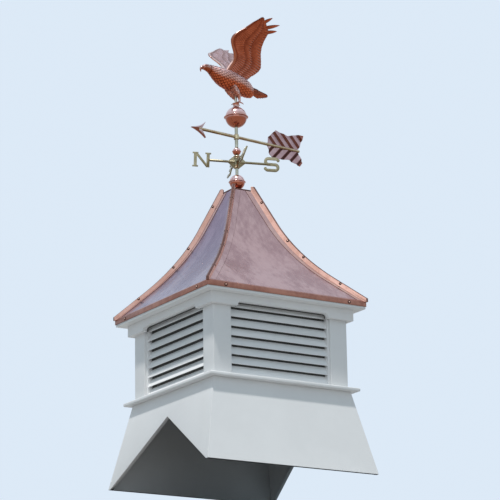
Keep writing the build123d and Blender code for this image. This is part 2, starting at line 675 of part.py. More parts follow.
def eagle_legs():
    """Feathered thighs, shanks and feet, each foot with three toes ahead and one behind."""
    legs = None
    for side in (1, -1):
        hip = Vector(HIP_U, side * HIP_V, z_perch + HIP_H)
        ankle = Vector(FOOT_U, side * FOOT_V, z_perch + ANKLE_H)
        run = ankle - hip
        top = Plane(origin=hip, z_dir=run) * Circle(HIP_R)
        low = Plane(origin=ankle, z_dir=run) * Circle(ANKLE_R)
        leg = loft([top, low])
        leg += Pos(FOOT_U, side * FOOT_V, z_perch) * Cylinder(ANKLE_R, ANKLE_H,
                                                             align=(Align.CENTER, Align.CENTER, Align.MIN))
        leg += Pos(ankle.X, ankle.Y, ankle.Z) * Sphere(ANKLE_R)
        for yaw in TOE_YAWS:
            toe = Rot(0, 90, 0) * Cone(TOE_R, TOE_R / 3, TOE_L, align=(Align.CENTER, Align.CENTER, Align.MIN))
            leg += Pos(FOOT_U, side * FOOT_V, z_perch + TOE_R) * Rot(0, 0, yaw) * toe
        legs = leg if legs is None else legs + leg
    return legs - Cylinder(SPINDLE_D / 2, 4 * z_plate)


def vane():
    body = eagle_body() - Cylinder(SPINDLE_D / 2, z_perch + SPINDLE_H, align=(Align.CENTER, Align.CENTER, Align.MIN))
    wings = eagle_wings()
    tail = eagle_tail()
    legs = eagle_legs()
    pieces = {
        "vane_tube": vane_tube(),
        "arrow_shaft": arrow_shaft(),
        "arrow_head": arrow_head(),
        "arrow_fletching": arrow_fletching(),
        "upper_ball": upper_ball(),
        "eagle_body": body,
        "eagle_tail": tail - body,
        "eagle_legs": legs - body,
    }
    for name, shape in wings.items():
        pieces[name] = shape - body
    return {name: turned(shape, VANE_YAW) for name, shape in pieces.items()}


def build():
    outer = roof_mass(0, EAVE_W / 2, z_eave, z_plate)
    pieces = aprons()
    pieces["sill"] = sill()
    for name, angle in (("back_right", 0), ("back_left", 90), ("front_left", 180), ("front_right", 270)):
        pieces["post_" + name] = turned(post(), angle)
    for side, angle in SIDES.items():
        pieces["louver_" + side] = turned(louver(), angle)
        pieces["frieze_" + side] = turned(frieze(), angle)
    pieces["soffit"] = soffit()
    pieces["roof_frame"] = roof_frame()
    pieces.update(roof_sheets(outer))
    pieces.update(hip_ribs(outer))
    pieces["roof_cap"] = roof_cap()
    pieces["mast"] = mast()
    pieces["lower_ball"] = Pos(0, 0, z_lower_ball) * seamed_ball(LOWER_BALL_D, LOWER_SEAM_D, SLEEVE_D)
    pieces.update(compass())
    pieces["small_ball"] = small_ball()
    pieces.update(vane())
    return pieces


os.makedirs("parts", exist_ok=True)
for node, shape in build().items():
    export_step(shape, "parts/" + node + ".step")
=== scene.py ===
import json
import math

import bmesh
import bpy
from mathutils import Matrix, Vector

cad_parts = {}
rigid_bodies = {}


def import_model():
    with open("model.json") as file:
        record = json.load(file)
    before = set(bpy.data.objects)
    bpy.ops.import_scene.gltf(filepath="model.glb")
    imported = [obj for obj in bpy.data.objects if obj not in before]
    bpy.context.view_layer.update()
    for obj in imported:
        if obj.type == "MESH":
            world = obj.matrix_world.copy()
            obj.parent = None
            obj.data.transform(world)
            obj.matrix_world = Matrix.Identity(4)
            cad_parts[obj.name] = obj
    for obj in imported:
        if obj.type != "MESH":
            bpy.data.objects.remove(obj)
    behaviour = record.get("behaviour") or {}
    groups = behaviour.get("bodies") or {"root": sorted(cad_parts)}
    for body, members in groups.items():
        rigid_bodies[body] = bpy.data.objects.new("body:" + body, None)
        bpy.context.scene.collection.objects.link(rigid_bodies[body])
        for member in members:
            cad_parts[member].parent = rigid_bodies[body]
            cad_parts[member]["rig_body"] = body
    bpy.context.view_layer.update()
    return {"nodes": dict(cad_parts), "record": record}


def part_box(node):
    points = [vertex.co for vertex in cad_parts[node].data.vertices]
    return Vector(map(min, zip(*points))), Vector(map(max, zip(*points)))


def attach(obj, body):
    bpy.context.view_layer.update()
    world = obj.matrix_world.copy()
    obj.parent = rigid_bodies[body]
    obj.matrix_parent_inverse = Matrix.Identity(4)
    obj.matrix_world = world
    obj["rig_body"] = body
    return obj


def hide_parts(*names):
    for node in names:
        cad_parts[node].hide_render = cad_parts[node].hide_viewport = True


# A square roof-ridge cupola: white vinyl base and louvered body, concave copper roof, turning eagle
# weathervane. Metres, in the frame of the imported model. Tables in millimetres say so.

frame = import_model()
nodes = frame["nodes"]
bpy.ops.object.select_all(action="DESELECT")

MM = 0.001
SLOT_OF = {row["node"]: row["material_slot"] for row in frame["record"]["subparts"]}
SIDES = ("front", "right", "back", "left")
QUARTERS = [Matrix.Rotation(math.radians(90 * k), 4, "Z") for k in range(4)]


def mm(*values):
    """Millimetres as metres."""
    return tuple(value * MM for value in values)


# Camera: fitted to the corners of the eave, frieze, sill and base
FOCAL_PX = 2400.0
IMAGE_PX = 500.0
SENSOR_MM = 36.0
CAMERA_BEARING = math.radians(31.804)   # of the camera from the front, towards the left side
CAMERA_REACH = 11.544098                # level distance from the mast
CAMERA_Z = -2.091481
LOOK_BEARING = math.radians(32.0966)
LOOK_UP = math.radians(15.7976)
LOOK_ROLL = math.radians(-0.9951)
CLIP_END = 200


def camera():
    """The photograph's camera, a little below the foot of the cupola and looking up at it."""
    right = Vector((math.cos(LOOK_BEARING), -math.sin(LOOK_BEARING), 0))
    ahead = Vector((math.sin(LOOK_BEARING) * math.cos(LOOK_UP),
                    math.cos(LOOK_BEARING) * math.cos(LOOK_UP), math.sin(LOOK_UP)))
    up = right.cross(ahead)
    across = math.cos(LOOK_ROLL) * right + math.sin(LOOK_ROLL) * up
    upright = -math.sin(LOOK_ROLL) * right + math.cos(LOOK_ROLL) * up
    turn = Matrix((across, upright, -ahead)).transposed()
    place = (-math.sin(CAMERA_BEARING) * CAMERA_REACH, -math.cos(CAMERA_BEARING) * CAMERA_REACH, CAMERA_Z)
    bpy.ops.object.camera_add(location=place, rotation=turn.to_euler())
    eye = bpy.context.object
    eye.name = "photo_camera"
    eye.data.sensor_width = SENSOR_MM
    eye.data.lens = FOCAL_PX / IMAGE_PX * SENSOR_MM
    eye.data.clip_end = CLIP_END
    bpy.context.scene.camera = eye


# Light: a high sun from the left, a weak wide fill from the camera's side and a soft blue surround
LAMP_REACH = 6
LAMPS = (("key_lamp", (-0.30, -0.19, 0.935), 2.7, 4, (1.0, 0.98, 0.95)),
         ("fill_lamp", (-0.52, -0.83, 0.12), 0.35, 60, (1.0, 1.0, 1.0)))
SKY = (0.72, 0.82, 0.93)                # the backdrop as it is seen and mirrored
SOFT_LIGHT = (0.76, 0.98, 1.14)         # the light that it gives
AMBIENT = 0.43
FLOOR_SIZE = 60
FLOOR_ROUGHNESS = 0.9
FLOOR_SEEN = (0.66, 0.64, 0.62)
FLOOR_BOUNCE = (0.30, 0.29, 0.28)


def lamps():
    """The sun lamps, each shining from its bearing."""
    for name, bearing, strength, angle, colour in LAMPS:
        turn = Vector(bearing).to_track_quat("Z", "Y").to_euler()
        bpy.ops.object.light_add(type="SUN", location=Vector(bearing) * LAMP_REACH, rotation=turn)
        made = bpy.context.object
        made.name = name
        made.data.energy = strength
        made.data.angle = math.radians(angle)
        made.data.color = colour


# Shader nodes

def feed(tree, target, inputs):
    """Sets inputs of a shader node, each to a value or to the output that feeds it."""
    for label, value in inputs.items():
        if isinstance(value, bpy.types.NodeSocket):
            tree.links.new(value, target.inputs[label])
        else:
            target.inputs[label].default_value = value


def shader(tree, kind, inputs=None, **settings):
    """A new shader node with its settings and inputs."""
    made = tree.nodes.new("ShaderNode" + kind)
    for label, value in settings.items():
        setattr(made, label, value)
    feed(tree, made, inputs or {})
    return made


def maths(tree, operation, *values):
    """The result of a Math node."""
    return shader(tree, "Math", dict(enumerate(values)), operation=operation).outputs[0]


def ramp(tree, value, low, high, kind="SMOOTHSTEP"):
    """A share from 0 to 1 as a value goes from low to high."""
    limits = {"Value": value, "From Min": low, "From Max": high}
    return shader(tree, "MapRange", limits, interpolation_type=kind).outputs["Result"]


def mixed(tree, share, first, second, blend="MIX"):
    """A colour between two, or one tinted by the other, by a share."""
    colours = {"Factor": share, "A": first, "B": second}
    return shader(tree, "Mix", colours, data_type="RGBA", blend_type=blend).outputs["Result"]


def noise(tree, inputs):
    """A cloudy pattern from 0 to 1."""
    return shader(tree, "TexNoise", inputs).outputs["Fac"]


def world():
    """A pale backdrop for the camera and for reflections, and a softer level of it for light."""
    sky = bpy.data.worlds.new("studio")
    bpy.context.scene.world = sky
    sky.use_nodes = True
    tree = sky.node_tree
    tree.nodes.clear()
    path = shader(tree, "LightPath")
    seen = maths(tree, "MAXIMUM", path.outputs["Is Camera Ray"], path.outputs["Is Glossy Ray"])
    seen_all = maths(tree, "MAXIMUM", seen, path.outputs["Is Transmission Ray"])
    light = shader(tree, "Background", {"Color": (*SOFT_LIGHT, 1), "Strength": AMBIENT})
    shown = shader(tree, "Background", {"Color": (*SKY, 1), "Strength": 1.0})
    mix = shader(tree, "MixShader", {0: seen_all, 1: light.outputs[0], 2: shown.outputs[0]})
    shader(tree, "OutputWorld", {"Surface": mix.outputs[0]})


def floor():
    """Pale floor under the feet, which throws back less light than it shows.

    From below it is clear, because the photograph looks up from lower than that."""
    bpy.ops.mesh.primitive_plane_add(size=FLOOR_SIZE, location=(0, 0, 0))
    ground = bpy.context.object
    ground.name = "studio_floor"
    paint = bpy.data.materials.new("studio_floor")
    paint.use_nodes = True
    tree = paint.node_tree
    path = shader(tree, "LightPath")
    tone = mixed(tree, path.outputs["Is Diffuse Ray"], (*FLOOR_SEEN, 1), (*FLOOR_BOUNCE, 1))
    surface = tree.nodes["Principled BSDF"]
    feed(tree, surface, {"Roughness": FLOOR_ROUGHNESS, "Base Color": tone})
    clear = shader(tree, "BsdfTransparent").outputs[0]
    below = shader(tree, "NewGeometry").outputs["Backfacing"]
    mix = shader(tree, "MixShader", {0: below, 1: surface.outputs[0], 2: clear})
    feed(tree, tree.nodes["Material Output"], {"Surface": mix.outputs[0]})
    ground.data.materials.append(paint)


# Shared shader groups

FINE_RATIO = 7.0                        # how much finer the streaks are than the clouds


def group(name, inputs, outputs):
    """An empty shader group with its sockets: its tree, what it is given and its end node."""
    tree = bpy.data.node_groups.new(name, "ShaderNodeTree")
    for label, kind, value in inputs:
        socket = tree.interface.new_socket(label, in_out="INPUT", socket_type="NodeSocket" + kind)
        socket.default_value = value
    for label, kind in outputs:
        tree.interface.new_socket(label, in_out="OUTPUT", socket_type="NodeSocket" + kind)
    return tree, tree.nodes.new("NodeGroupInput").outputs, tree.nodes.new("NodeGroupOutput")


def stretched(tree, given):
    """Object coordinates times a group's stretch."""
    place = shader(tree, "TexCoord")
    return shader(tree, "VectorMath", {0: place.outputs["Object"], 1: given["Stretch"]},
                  operation="MULTIPLY").outputs[0]


def clouds_group():
    """Soft cloudy patches between two colours, stretched along one direction, with fine streaks over them."""
    tree, given, made = group("cloudy_tone", [
        ("Main", "Color", (0.8, 0.8, 0.8, 1)), ("Second", "Color", (0.7, 0.7, 0.7, 1)),
        ("Size", "Float", 4.0), ("Stretch", "Vector", (1, 1, 1)),
        ("Streak", "Float", 0.2), ("Low", "Float", 0.35), ("High", "Float", 0.65)],
        [("Color", "Color"), ("Mask", "Float")])
    shape = stretched(tree, given)
    cloud = noise(tree, {"Vector": shape, "Scale": given["Size"], "Detail": 5, "Distortion": 0.6})
    fine_size = maths(tree, "MULTIPLY", given["Size"], FINE_RATIO)
    fine = noise(tree, {"Vector": shape, "Scale": fine_size, "Detail": 3})
    both = shader(tree, "Mix", {"Factor": given["Streak"], "A": cloud, "B": fine})
    share = ramp(tree, both.outputs["Result"], given["Low"], given["High"])
    feed(tree, made, {"Color": mixed(tree, share, given["Main"], given["Second"]), "Mask": share})
    return tree


def grain_group():
    """Fine surface unevenness as a normal."""
    tree, given, made = group("surface_grain", [
        ("Size", "Float", 60.0), ("Stretch", "Vector", (1, 1, 1)),
        ("Height", "Float", 0.1), ("Depth", "Float", 0.001)], [("Normal", "Vector")])
    rough = noise(tree, {"Vector": stretched(tree, given), "Scale": given["Size"], "Detail": 4})
    bump = shader(tree, "Bump", {"Strength": given["Height"], "Distance": given["Depth"], "Height": rough})
    feed(tree, made, {"Normal": bump.outputs["Normal"]})
    return tree


def painted_slope_light_group():
    """Paints light and shade into a colour by the way the surface faces: what looks up has one painted tint
    and what looks down another.
    """
    tree, given, made = group("painted_slope_light", [
        ("Color", "Color", (0.8, 0.8, 0.8, 1)), ("Up", "Color", (1, 1, 1, 1)),
        ("Down", "Color", (1, 1, 1, 1)), ("Up Full", "Float", 0.7), ("Down Full", "Float", -0.5)],
        [("Color", "Color")])
    side = shader(tree, "NewGeometry")
    parts = shader(tree, "SeparateXYZ", {0: side.outputs["Normal"]})
    colour = given["Color"]
    for label in ("Up", "Down"):
        share = ramp(tree, parts.outputs["Z"], 0.0, given[label + " Full"])
        colour = mixed(tree, share, colour, given[label], "MULTIPLY")
    feed(tree, made, {"Color": colour})
    return tree


CLOUDS = clouds_group()
GRAIN = grain_group()
PAINTED_SLOPE_LIGHT = painted_slope_light_group()
WHITE = (1, 1, 1)
ROUGH_SPREAD = 0.08


def finish(name, main, second, metallic, roughness, size=4.0, stretch=(1, 1, 1), streak=0.2, low=0.35,
           high=0.65, rough_second=None, grain=60.0, grain_height=0.1, grain_depth=0.001,
           up=None, down=None, up_full=0.7, down_full=-0.5):
    """A material: two tones in clouds, a roughness that follows them, a fine grain and painted light and
    shade by slope.
    """
    made = bpy.data.materials.new(name)
    made.use_nodes = True
    tree = made.node_tree
    tone = shader(tree, "Group", node_tree=CLOUDS, inputs={
        "Main": (*main, 1), "Second": (*second, 1), "Size": size, "Stretch": stretch,
        "Streak": streak, "Low": low, "High": high})
    colour = tone.outputs["Color"]
    # The up and down tints are painted light and shade, by the way each face looks
    if up or down:
        tinted = shader(tree, "Group", node_tree=PAINTED_SLOPE_LIGHT, inputs={
            "Color": colour, "Up": (*(up or WHITE), 1), "Down": (*(down or WHITE), 1),
            "Up Full": up_full, "Down Full": down_full})
        colour = tinted.outputs["Color"]
    rough_second = rough_second or roughness + ROUGH_SPREAD
    level = shader(tree, "MapRange", {
        "Value": tone.outputs["Mask"], "To Min": roughness, "To Max": rough_second})
    uneven = shader(tree, "Group", node_tree=GRAIN, inputs={
        "Size": grain, "Stretch": stretch, "Height": grain_height, "Depth": grain_depth})
    feed(tree, tree.nodes["Principled BSDF"], {
        "Metallic": metallic, "Base Color": colour, "Roughness": level.outputs["Result"],
        "Normal": uneven.outputs["Normal"]})
    return made


# The up and down tints of these finishes paint light, shade and reflection by the way each face looks
WHITE_VINYL = finish("white_vinyl", (0.81, 0.81, 0.81), (0.78, 0.78, 0.78), 0.0, 0.42, size=3.0, grain=90.0,
    grain_height=0.15, grain_depth=0.0006)
LOUVER_VINYL = finish("louver_vinyl", (0.89, 0.89, 0.89), (0.86, 0.86, 0.86), 0.0, 0.38, size=6.0,
    stretch=(1, 1, 3), grain=120.0, grain_depth=0.0005)
# The sheets of the left and right sides are painted bluer than those of the front and back, a painted
# reflection of a deeper sky
ROOF_SHEET = {"size": 4.2, "stretch": (1.5, 1.5, 0.6), "streak": 0.35, "rough_second": 0.29, "grain": 11.0,
              "grain_height": 0.5, "grain_depth": 0.006, "down": (0.5, 0.35, 0.3), "up_full": 0.95}
ROOF_COPPER = finish("roof_copper", (0.62, 0.425, 0.405), (0.44, 0.285, 0.285), 1.0, 0.17, low=0.37,
    high=0.61, up=(0.96, 0.89, 0.90), **ROOF_SHEET)
SIDE_ROOF_PAINTED_SKY = finish("side_roof_painted_sky_copper", (0.365, 0.255, 0.32), (0.265, 0.19, 0.255), 1.0, 0.17,
    low=0.34, high=0.66, up=(0.66, 0.66, 0.84), **ROOF_SHEET)
# The rib's faces that look up are painted dark, a painted reflection, and those that look down painted shade
RIB_COPPER = finish("rib_copper", (0.78, 0.46, 0.37), (0.62, 0.34, 0.26), 1.0, 0.26, size=12.0, streak=0.4,
    grain=40.0, up=(0.25, 0.19, 0.19), down=(0.35, 0.25, 0.25), up_full=0.62)
# A painted shade line: the cap plate, the outer edges of the flanges and the cut feet of the ribs
SHADE_LINE_COPPER = finish("painted_shade_line_copper", (0.20, 0.10, 0.08), (0.12, 0.06, 0.05), 1.0, 0.36, size=20.0,
    streak=0.4, up=(1.8, 1.6, 1.6))
FLANGE_COPPER = finish("flange_copper", (0.54, 0.375, 0.37), (0.43, 0.28, 0.29), 1.0, 0.24, size=12.0,
    streak=0.4, grain=40.0, up=(1.38, 1.26, 1.02), up_full=0.75)
FASCIA_COPPER = finish("fascia_copper", (0.38, 0.18, 0.13), (0.26, 0.115, 0.085), 1.0, 0.32, size=9.0,
    streak=0.4, grain=40.0, up=(1.2, 1.3, 1.5), down=(0.4, 0.35, 0.35))
SCREW_COPPER = finish("screw_copper", (0.80, 0.52, 0.44), (0.60, 0.34, 0.26), 1.0, 0.22, size=60.0,
    streak=0.4, grain=200.0, down=(0.3, 0.25, 0.25))
SCREW_RING = finish("screw_ring", (0.06, 0.03, 0.025), (0.04, 0.02, 0.015), 1.0, 0.4, size=60.0, grain=200.0)
# The balls are painted paler where they look up and browner where they look down, painted reflections of sky
# and roof
BALL_COPPER = finish("ball_copper", (0.60, 0.33, 0.28), (0.50, 0.27, 0.22), 1.0, 0.14, size=20.0,
    grain_height=0.05, up=(1.45, 1.85, 2.15), down=(0.58, 0.31, 0.21), up_full=0.5, down_full=-0.25)
# A paler copper that is a painted highlight, for the rolled edges of the wings and the perch
PAINTED_HIGHLIGHT_COPPER = finish("painted_highlight_copper", (0.50, 0.29, 0.24), (0.42, 0.23, 0.18), 1.0, 0.22, size=30.0, streak=0.4,
    grain=120.0, grain_height=0.2, up=(1.6, 2.1, 2.4), down=(0.70, 0.36, 0.22), up_full=0.5, down_full=-0.3)
# Paler copper for the thighs and toes, painted light as where they are lit from above
LIT_THIGH_COPPER = finish("painted_lit_thigh_copper", (0.66, 0.45, 0.42), (0.52, 0.32, 0.28), 1.0, 0.26, size=30.0,
    streak=0.5, grain=160.0, grain_height=0.3, up=(1.3, 1.6, 1.8), down=(0.60, 0.32, 0.22), up_full=0.5,
    down_full=-0.6)
FIGURE_COPPER = finish("figure_copper", (0.43, 0.24, 0.20), (0.30, 0.145, 0.11), 1.0, 0.28, size=30.0,
    streak=0.5, grain=180.0, grain_height=0.3, up=(1.3, 1.65, 2.0), down=(0.70, 0.28, 0.13), up_full=0.6,
    down_full=-0.3)
# The arrow's sheet copper, and a darker brown copy of it for the corners of its tail
ARROW_SHEET = {"size": 20.0, "grain": 80.0, "up": (1.1, 1.15, 1.25), "down": (0.28, 0.15, 0.11),
               "up_full": 0.6, "down_full": -0.16}
ARROW_COPPER = finish("arrow_copper", (0.50, 0.34, 0.34), (0.40, 0.25, 0.25), 1.0, 0.30, **ARROW_SHEET)
CORNER_COPPER = finish("tail_corner_copper", (0.31, 0.1156, 0.0816), (0.248, 0.085, 0.06), 1.0, 0.30,
    **ARROW_SHEET)
# The arrow head is painted pale where it looks up and dark where it looks down, painted light and shade
HEAD_COPPER = finish("arrow_head_copper", (0.54, 0.40, 0.39), (0.44, 0.30, 0.28), 1.0, 0.24, size=20.0,
    grain=80.0, up=(1.7, 2.1, 2.3), down=(0.45, 0.20, 0.12), up_full=0.16, down_full=-0.14)
YELLOW_BRASS = finish("yellow_brass", (0.35, 0.31, 0.20), (0.25, 0.22, 0.14), 1.0, 0.30, size=26.0,
    streak=0.5, grain=160.0, grain_height=0.25, up=(1.4, 1.4, 1.5), down=(0.45, 0.36, 0.26))
SHAFT_BRASS = finish("shaft_brass", (0.54, 0.47, 0.30), (0.40, 0.27, 0.16), 1.0, 0.28, size=14.0, streak=0.3,
    grain=160.0, grain_height=0.2, up=(1.5, 1.6, 1.9), down=(0.42, 0.33, 0.26), up_full=0.8)
# Dark screen cloth: the insect screens' own colour, and the painted shadow line under each arch
SCREEN_CLOTH_AND_SHADE = finish("insect_screen", (0.045, 0.043, 0.042), (0.065, 0.062, 0.060), 0.0, 0.7, size=40.0,
    grain=900.0, grain_height=0.6)
MAST_STEEL = finish("mast_steel", (0.46, 0.46, 0.38), (0.36, 0.35, 0.27), 1.0, 0.28, size=30.0,
    down=(0.6, 0.5, 0.4))
ROOF_TIMBER = finish("roof_timber", (0.60, 0.43, 0.26), (0.42, 0.28, 0.16), 0.0, 0.75, size=9.0,
    stretch=(1, 1, 0.2), streak=0.5, grain_height=0.5)

# Feathers are painted: shade at the root and the edges, a highlight towards the tip
FEATHER_EDGE_SHADE = (0.35, 0.28, 0.26)
ROOT_TO_TIP = (0.30, 0.92)              # where the root's painted shade starts to fade and the tip's painted highlight is full, along a feather
RIM = (0.30, 0.47)                      # where the edge's painted shade starts and is full, from the quill
BARB_WAVES = 16.0
BARB_STRENGTH = 0.35
BARB_DEPTH = 0.6 * MM
STRIPE_BLUR = 0.8 * MM


def retinted(name, source):
    """A copy of a finish, with its tree, its surface and the socket that colours it."""
    made = source.copy()
    made.name = name
    surface = made.node_tree.nodes["Principled BSDF"]
    return made, made.node_tree, surface, surface.inputs["Base Color"].links[0].from_socket


def feather_finish(name, source, root_shade, tip_highlight):
    """A copy of a finish for feathers: painted shade at the covered root and along the edges, a painted
    highlight at the tip, with fine barbs.
    """
    made, tree, surface, plain = retinted(name, source)
    place = shader(tree, "UVMap", uv_map="UVMap")
    parts = shader(tree, "SeparateXYZ", {0: place.outputs["UV"]})
    off_quill = maths(tree, "ABSOLUTE", maths(tree, "SUBTRACT", parts.outputs["Y"], 0.5))
    shade = mixed(tree, ramp(tree, parts.outputs["X"], *ROOT_TO_TIP), (*root_shade, 1), (*tip_highlight, 1))
    rimmed = mixed(tree, ramp(tree, off_quill, *RIM), shade, (*FEATHER_EDGE_SHADE, 1))
    slant = maths(tree, "SUBTRACT", parts.outputs["X"], off_quill)
    ripple = maths(tree, "SINE", maths(tree, "MULTIPLY", slant, BARB_WAVES * math.tau))
    bump = shader(tree, "Bump", {"Strength": BARB_STRENGTH, "Distance": BARB_DEPTH, "Height": ripple,
                                 "Normal": surface.inputs["Normal"].links[0].from_socket})
    feed(tree, surface, {"Base Color": mixed(tree, 1, plain, rimmed, "MULTIPLY"),
                         "Normal": bump.outputs["Normal"]})
    return made


def shade_striped_finish(name, source, across, offset, pitch, width, tone):
    """A copy of a finish with darker stripes of painted shade, by the distance along a direction."""
    made, tree, surface, plain = retinted(name, source)
    place = shader(tree, "TexCoord")
    reach = shader(tree, "VectorMath", {0: place.outputs["Object"], 1: across}, operation="DOT_PRODUCT")
    off_stripe = maths(tree, "PINGPONG", maths(tree, "SUBTRACT", reach.outputs["Value"], offset), pitch / 2)
    share = ramp(tree, off_stripe, width / 2 + STRIPE_BLUR, width / 2 - STRIPE_BLUR, "LINEAR")
    feed(tree, surface, {"Base Color": mixed(tree, share, plain, (*tone, 1), "MULTIPLY")})
    return made


# Each feather finish: the painted shade of its root, then the painted highlight of its tip
SCALE_COPPER = feather_finish("scale_copper", FIGURE_COPPER, (0.58, 0.46, 0.42), (1.9, 1.95, 1.95))
LIT_THIGH_SCALE_COPPER = feather_finish("painted_lit_thigh_scale_copper", LIT_THIGH_COPPER, (0.60, 0.50, 0.46),
    (1.4, 1.45, 1.45))
BLADE_COPPER = feather_finish("blade_copper", FIGURE_COPPER, (0.75, 0.65, 0.62), (1.4, 1.45, 1.5))

SLOT_FINISH = {
    "white_vinyl": WHITE_VINYL, "louver_vinyl": LOUVER_VINYL, "roof_timber": ROOF_TIMBER,
    "roof_copper": ROOF_COPPER, "rib_copper": RIB_COPPER, "ball_copper": BALL_COPPER,
    "mast_steel": MAST_STEEL, "figure_copper": FIGURE_COPPER, "arrow_copper": ARROW_COPPER,
    "yellow_brass": YELLOW_BRASS,
}
OWN_FINISH = {"roof_sheet_left": SIDE_ROOF_PAINTED_SKY, "roof_sheet_right": SIDE_ROOF_PAINTED_SKY,
              "vane_tube": MAST_STEEL}


def dress_nodes():
    """Every node of the model takes its own finish or that of its material slot."""
    for name, slot in SLOT_OF.items():
        nodes[name].data.materials.clear()
        nodes[name].data.materials.append(OWN_FINISH.get(name, SLOT_FINISH[slot]))


# Making pieces

MERGE_REACH = 0.02 * MM
FLAT_ANGLE = math.radians(0.6)          # triangles flatter than this to each other merge
CRISP = 30                              # degrees past which an edge stays sharp in shading
ROUND = 50                              # the same for small turned pieces


def only(obj):
    """Selects one object and nothing else."""
    bpy.ops.object.select_all(action="DESELECT")
    obj.select_set(True)
    bpy.context.view_layer.objects.active = obj


def open_all(obj):
    """Opens a piece in edit mode with all of it selected."""
    only(obj)
    bpy.ops.object.mode_set(mode="EDIT")
    bpy.ops.mesh.select_all(action="SELECT")


def close():
    """Leaves edit mode."""
    bpy.ops.object.mode_set(mode="OBJECT")


def pick(obj, test):
    """In edit mode, selects the vertices that pass a test of their place."""
    form = bmesh.from_edit_mesh(obj.data)
    for vertex in form.verts:
        vertex.select = test(vertex.co)
    form.select_flush_mode()
    bmesh.update_edit_mesh(obj.data)


def into_mesh(obj):
    """Moves an object's place, turn and size into its mesh."""
    only(obj)
    bpy.ops.object.transform_apply(location=True, rotation=True, scale=True)


def applied(obj, kind, **values):
    """Adds a modifier with its values and applies it."""
    only(obj)
    modifier = obj.modifiers.new(kind.lower(), kind)
    for label, value in values.items():
        setattr(modifier, label, value)
    bpy.ops.object.modifier_apply(modifier=modifier.name)


def facing_out(obj):
    """Merges doubled vertices and points the faces outwards."""
    open_all(obj)
    bpy.ops.mesh.remove_doubles(threshold=MERGE_REACH)
    bpy.ops.mesh.normals_make_consistent(inside=False)
    close()


def joined(name, pieces):
    """One object out of several."""
    only(pieces[0])
    for piece in pieces:
        piece.select_set(True)
    bpy.ops.object.join()
    whole = bpy.context.object
    whole.name = name
    return whole


def copied(piece, place):
    """A copy of a piece with its own mesh, put in its place by a matrix."""
    copy = piece.copy()
    copy.data = piece.data.copy()
    bpy.context.collection.objects.link(copy)
    copy.matrix_world = place
    return copy


def strewn(name, piece, places):
    """One object that holds a copy of a small piece at each place. The piece itself goes."""
    whole = joined(name, [copied(piece, place) for place in places])
    into_mesh(whole)
    bpy.data.objects.remove(piece)
    return whole


def ready(obj, name, material, body, slot, *replaced, angle=40):
    """Finishes a piece: its name, material, shading and body, and the nodes that it stands for. The slot that
    it is given is not used.

    With no material given, the piece keeps those of its parts."""
    into_mesh(obj)
    obj.name = name
    if material:
        obj.data.materials.clear()
        obj.data.materials.append(material)
    only(obj)
    bpy.ops.object.shade_smooth_by_angle(angle=math.radians(angle))
    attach(obj, body)
    if replaced:
        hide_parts(*replaced)
    return obj


def spun(profile, steps=64):
    """A turned piece: a chain of (radius, height) points spun about the mast's axis."""
    bpy.ops.mesh.primitive_plane_add(size=MM)
    piece = bpy.context.object
    open_all(piece)
    bpy.ops.mesh.merge(type="CENTER")
    radius, height = profile[0]
    bpy.ops.transform.translate(value=(radius, 0, height))
    for (radius, height), (next_radius, next_height) in zip(profile, profile[1:]):
        step = (next_radius - radius, 0, next_height - height)
        bpy.ops.mesh.extrude_region_move(TRANSFORM_OT_translate={"value": step})
    bpy.ops.mesh.select_all(action="SELECT")
    bpy.ops.mesh.spin(steps=steps, angle=math.tau, center=(0, 0, 0), axis=(0, 0, 1))
    close()
    facing_out(piece)
    return piece


def arc(middle_radius, middle_height, radius, start, end, steps):
    """Points of an arc in a turned profile, from one angle above level to another, in degrees."""
    angles = [math.radians(start + (end - start) * k / steps) for k in range(steps + 1)]
    return [(middle_radius + radius * math.cos(a), middle_height + radius * math.sin(a)) for a in angles]


def drawn(rings, sides=32):
    """A closed form drawn through upright elliptical rings: U, height, half width and half height of each."""
    u, height, half_w, half_h = rings[0]
    bpy.ops.mesh.primitive_circle_add(vertices=sides, radius=1, fill_type="NGON", location=(u, 0, height),
                                      rotation=(0, math.radians(90), 0))
    form = bpy.context.object
    form.scale = (half_h, half_w, 1)
    into_mesh(form)
    open_all(form)
    for (u, height, half_w, half_h), (next_u, next_height, next_w, next_h) in zip(rings, rings[1:]):
        step = (next_u - u, 0, next_height - height)
        bpy.ops.mesh.extrude_region_move(TRANSFORM_OT_translate={"value": step})
        bpy.ops.transform.resize(value=(1, next_w / half_w, next_h / half_h),
                                 center_override=(next_u, 0, next_height))
    close()
    facing_out(form)
    return form


def line_through(name, kind, dimensions, points):
    """A curve through points, not yet an object, and its spline."""
    line = bpy.data.curves.new(name, "CURVE")
    line.dimensions = dimensions
    spline = line.splines.new(kind)
    spline.points.add(len(points) - 1)
    for spot, point in zip(spline.points, points):
        spot.co = (*point, 1)
    return line, spline


def meshed(line):
    """A curve as a mesh object."""
    piece = bpy.data.objects.new(line.name, line)
    bpy.context.collection.objects.link(piece)
    only(piece)
    bpy.ops.object.convert(target="MESH")
    return bpy.context.object


def rod(points, radii, sides=12):
    """A tapering rod along a smooth line through the points, with round closed ends, as a mesh."""
    line, spline = line_through("rod", "NURBS", "3D", points)
    line.bevel_depth = 1.0
    line.bevel_resolution = max(1, sides // 4 - 1)
    line.use_fill_caps = True
    line.resolution_u = 6
    for spot, radius in zip(spline.points, radii):
        spot.radius = radius
    spline.order_u = 3
    spline.use_endpoint_u = True
    piece = meshed(line)
    facing_out(piece)
    return piece


def plain_copy(node_name):
    """A copy of one of the model's solids as a piece of its own."""
    piece = copied(nodes[node_name], Matrix.Identity(4))
    piece.parent = None
    for label in list(piece.keys()):
        del piece[label]
    return piece


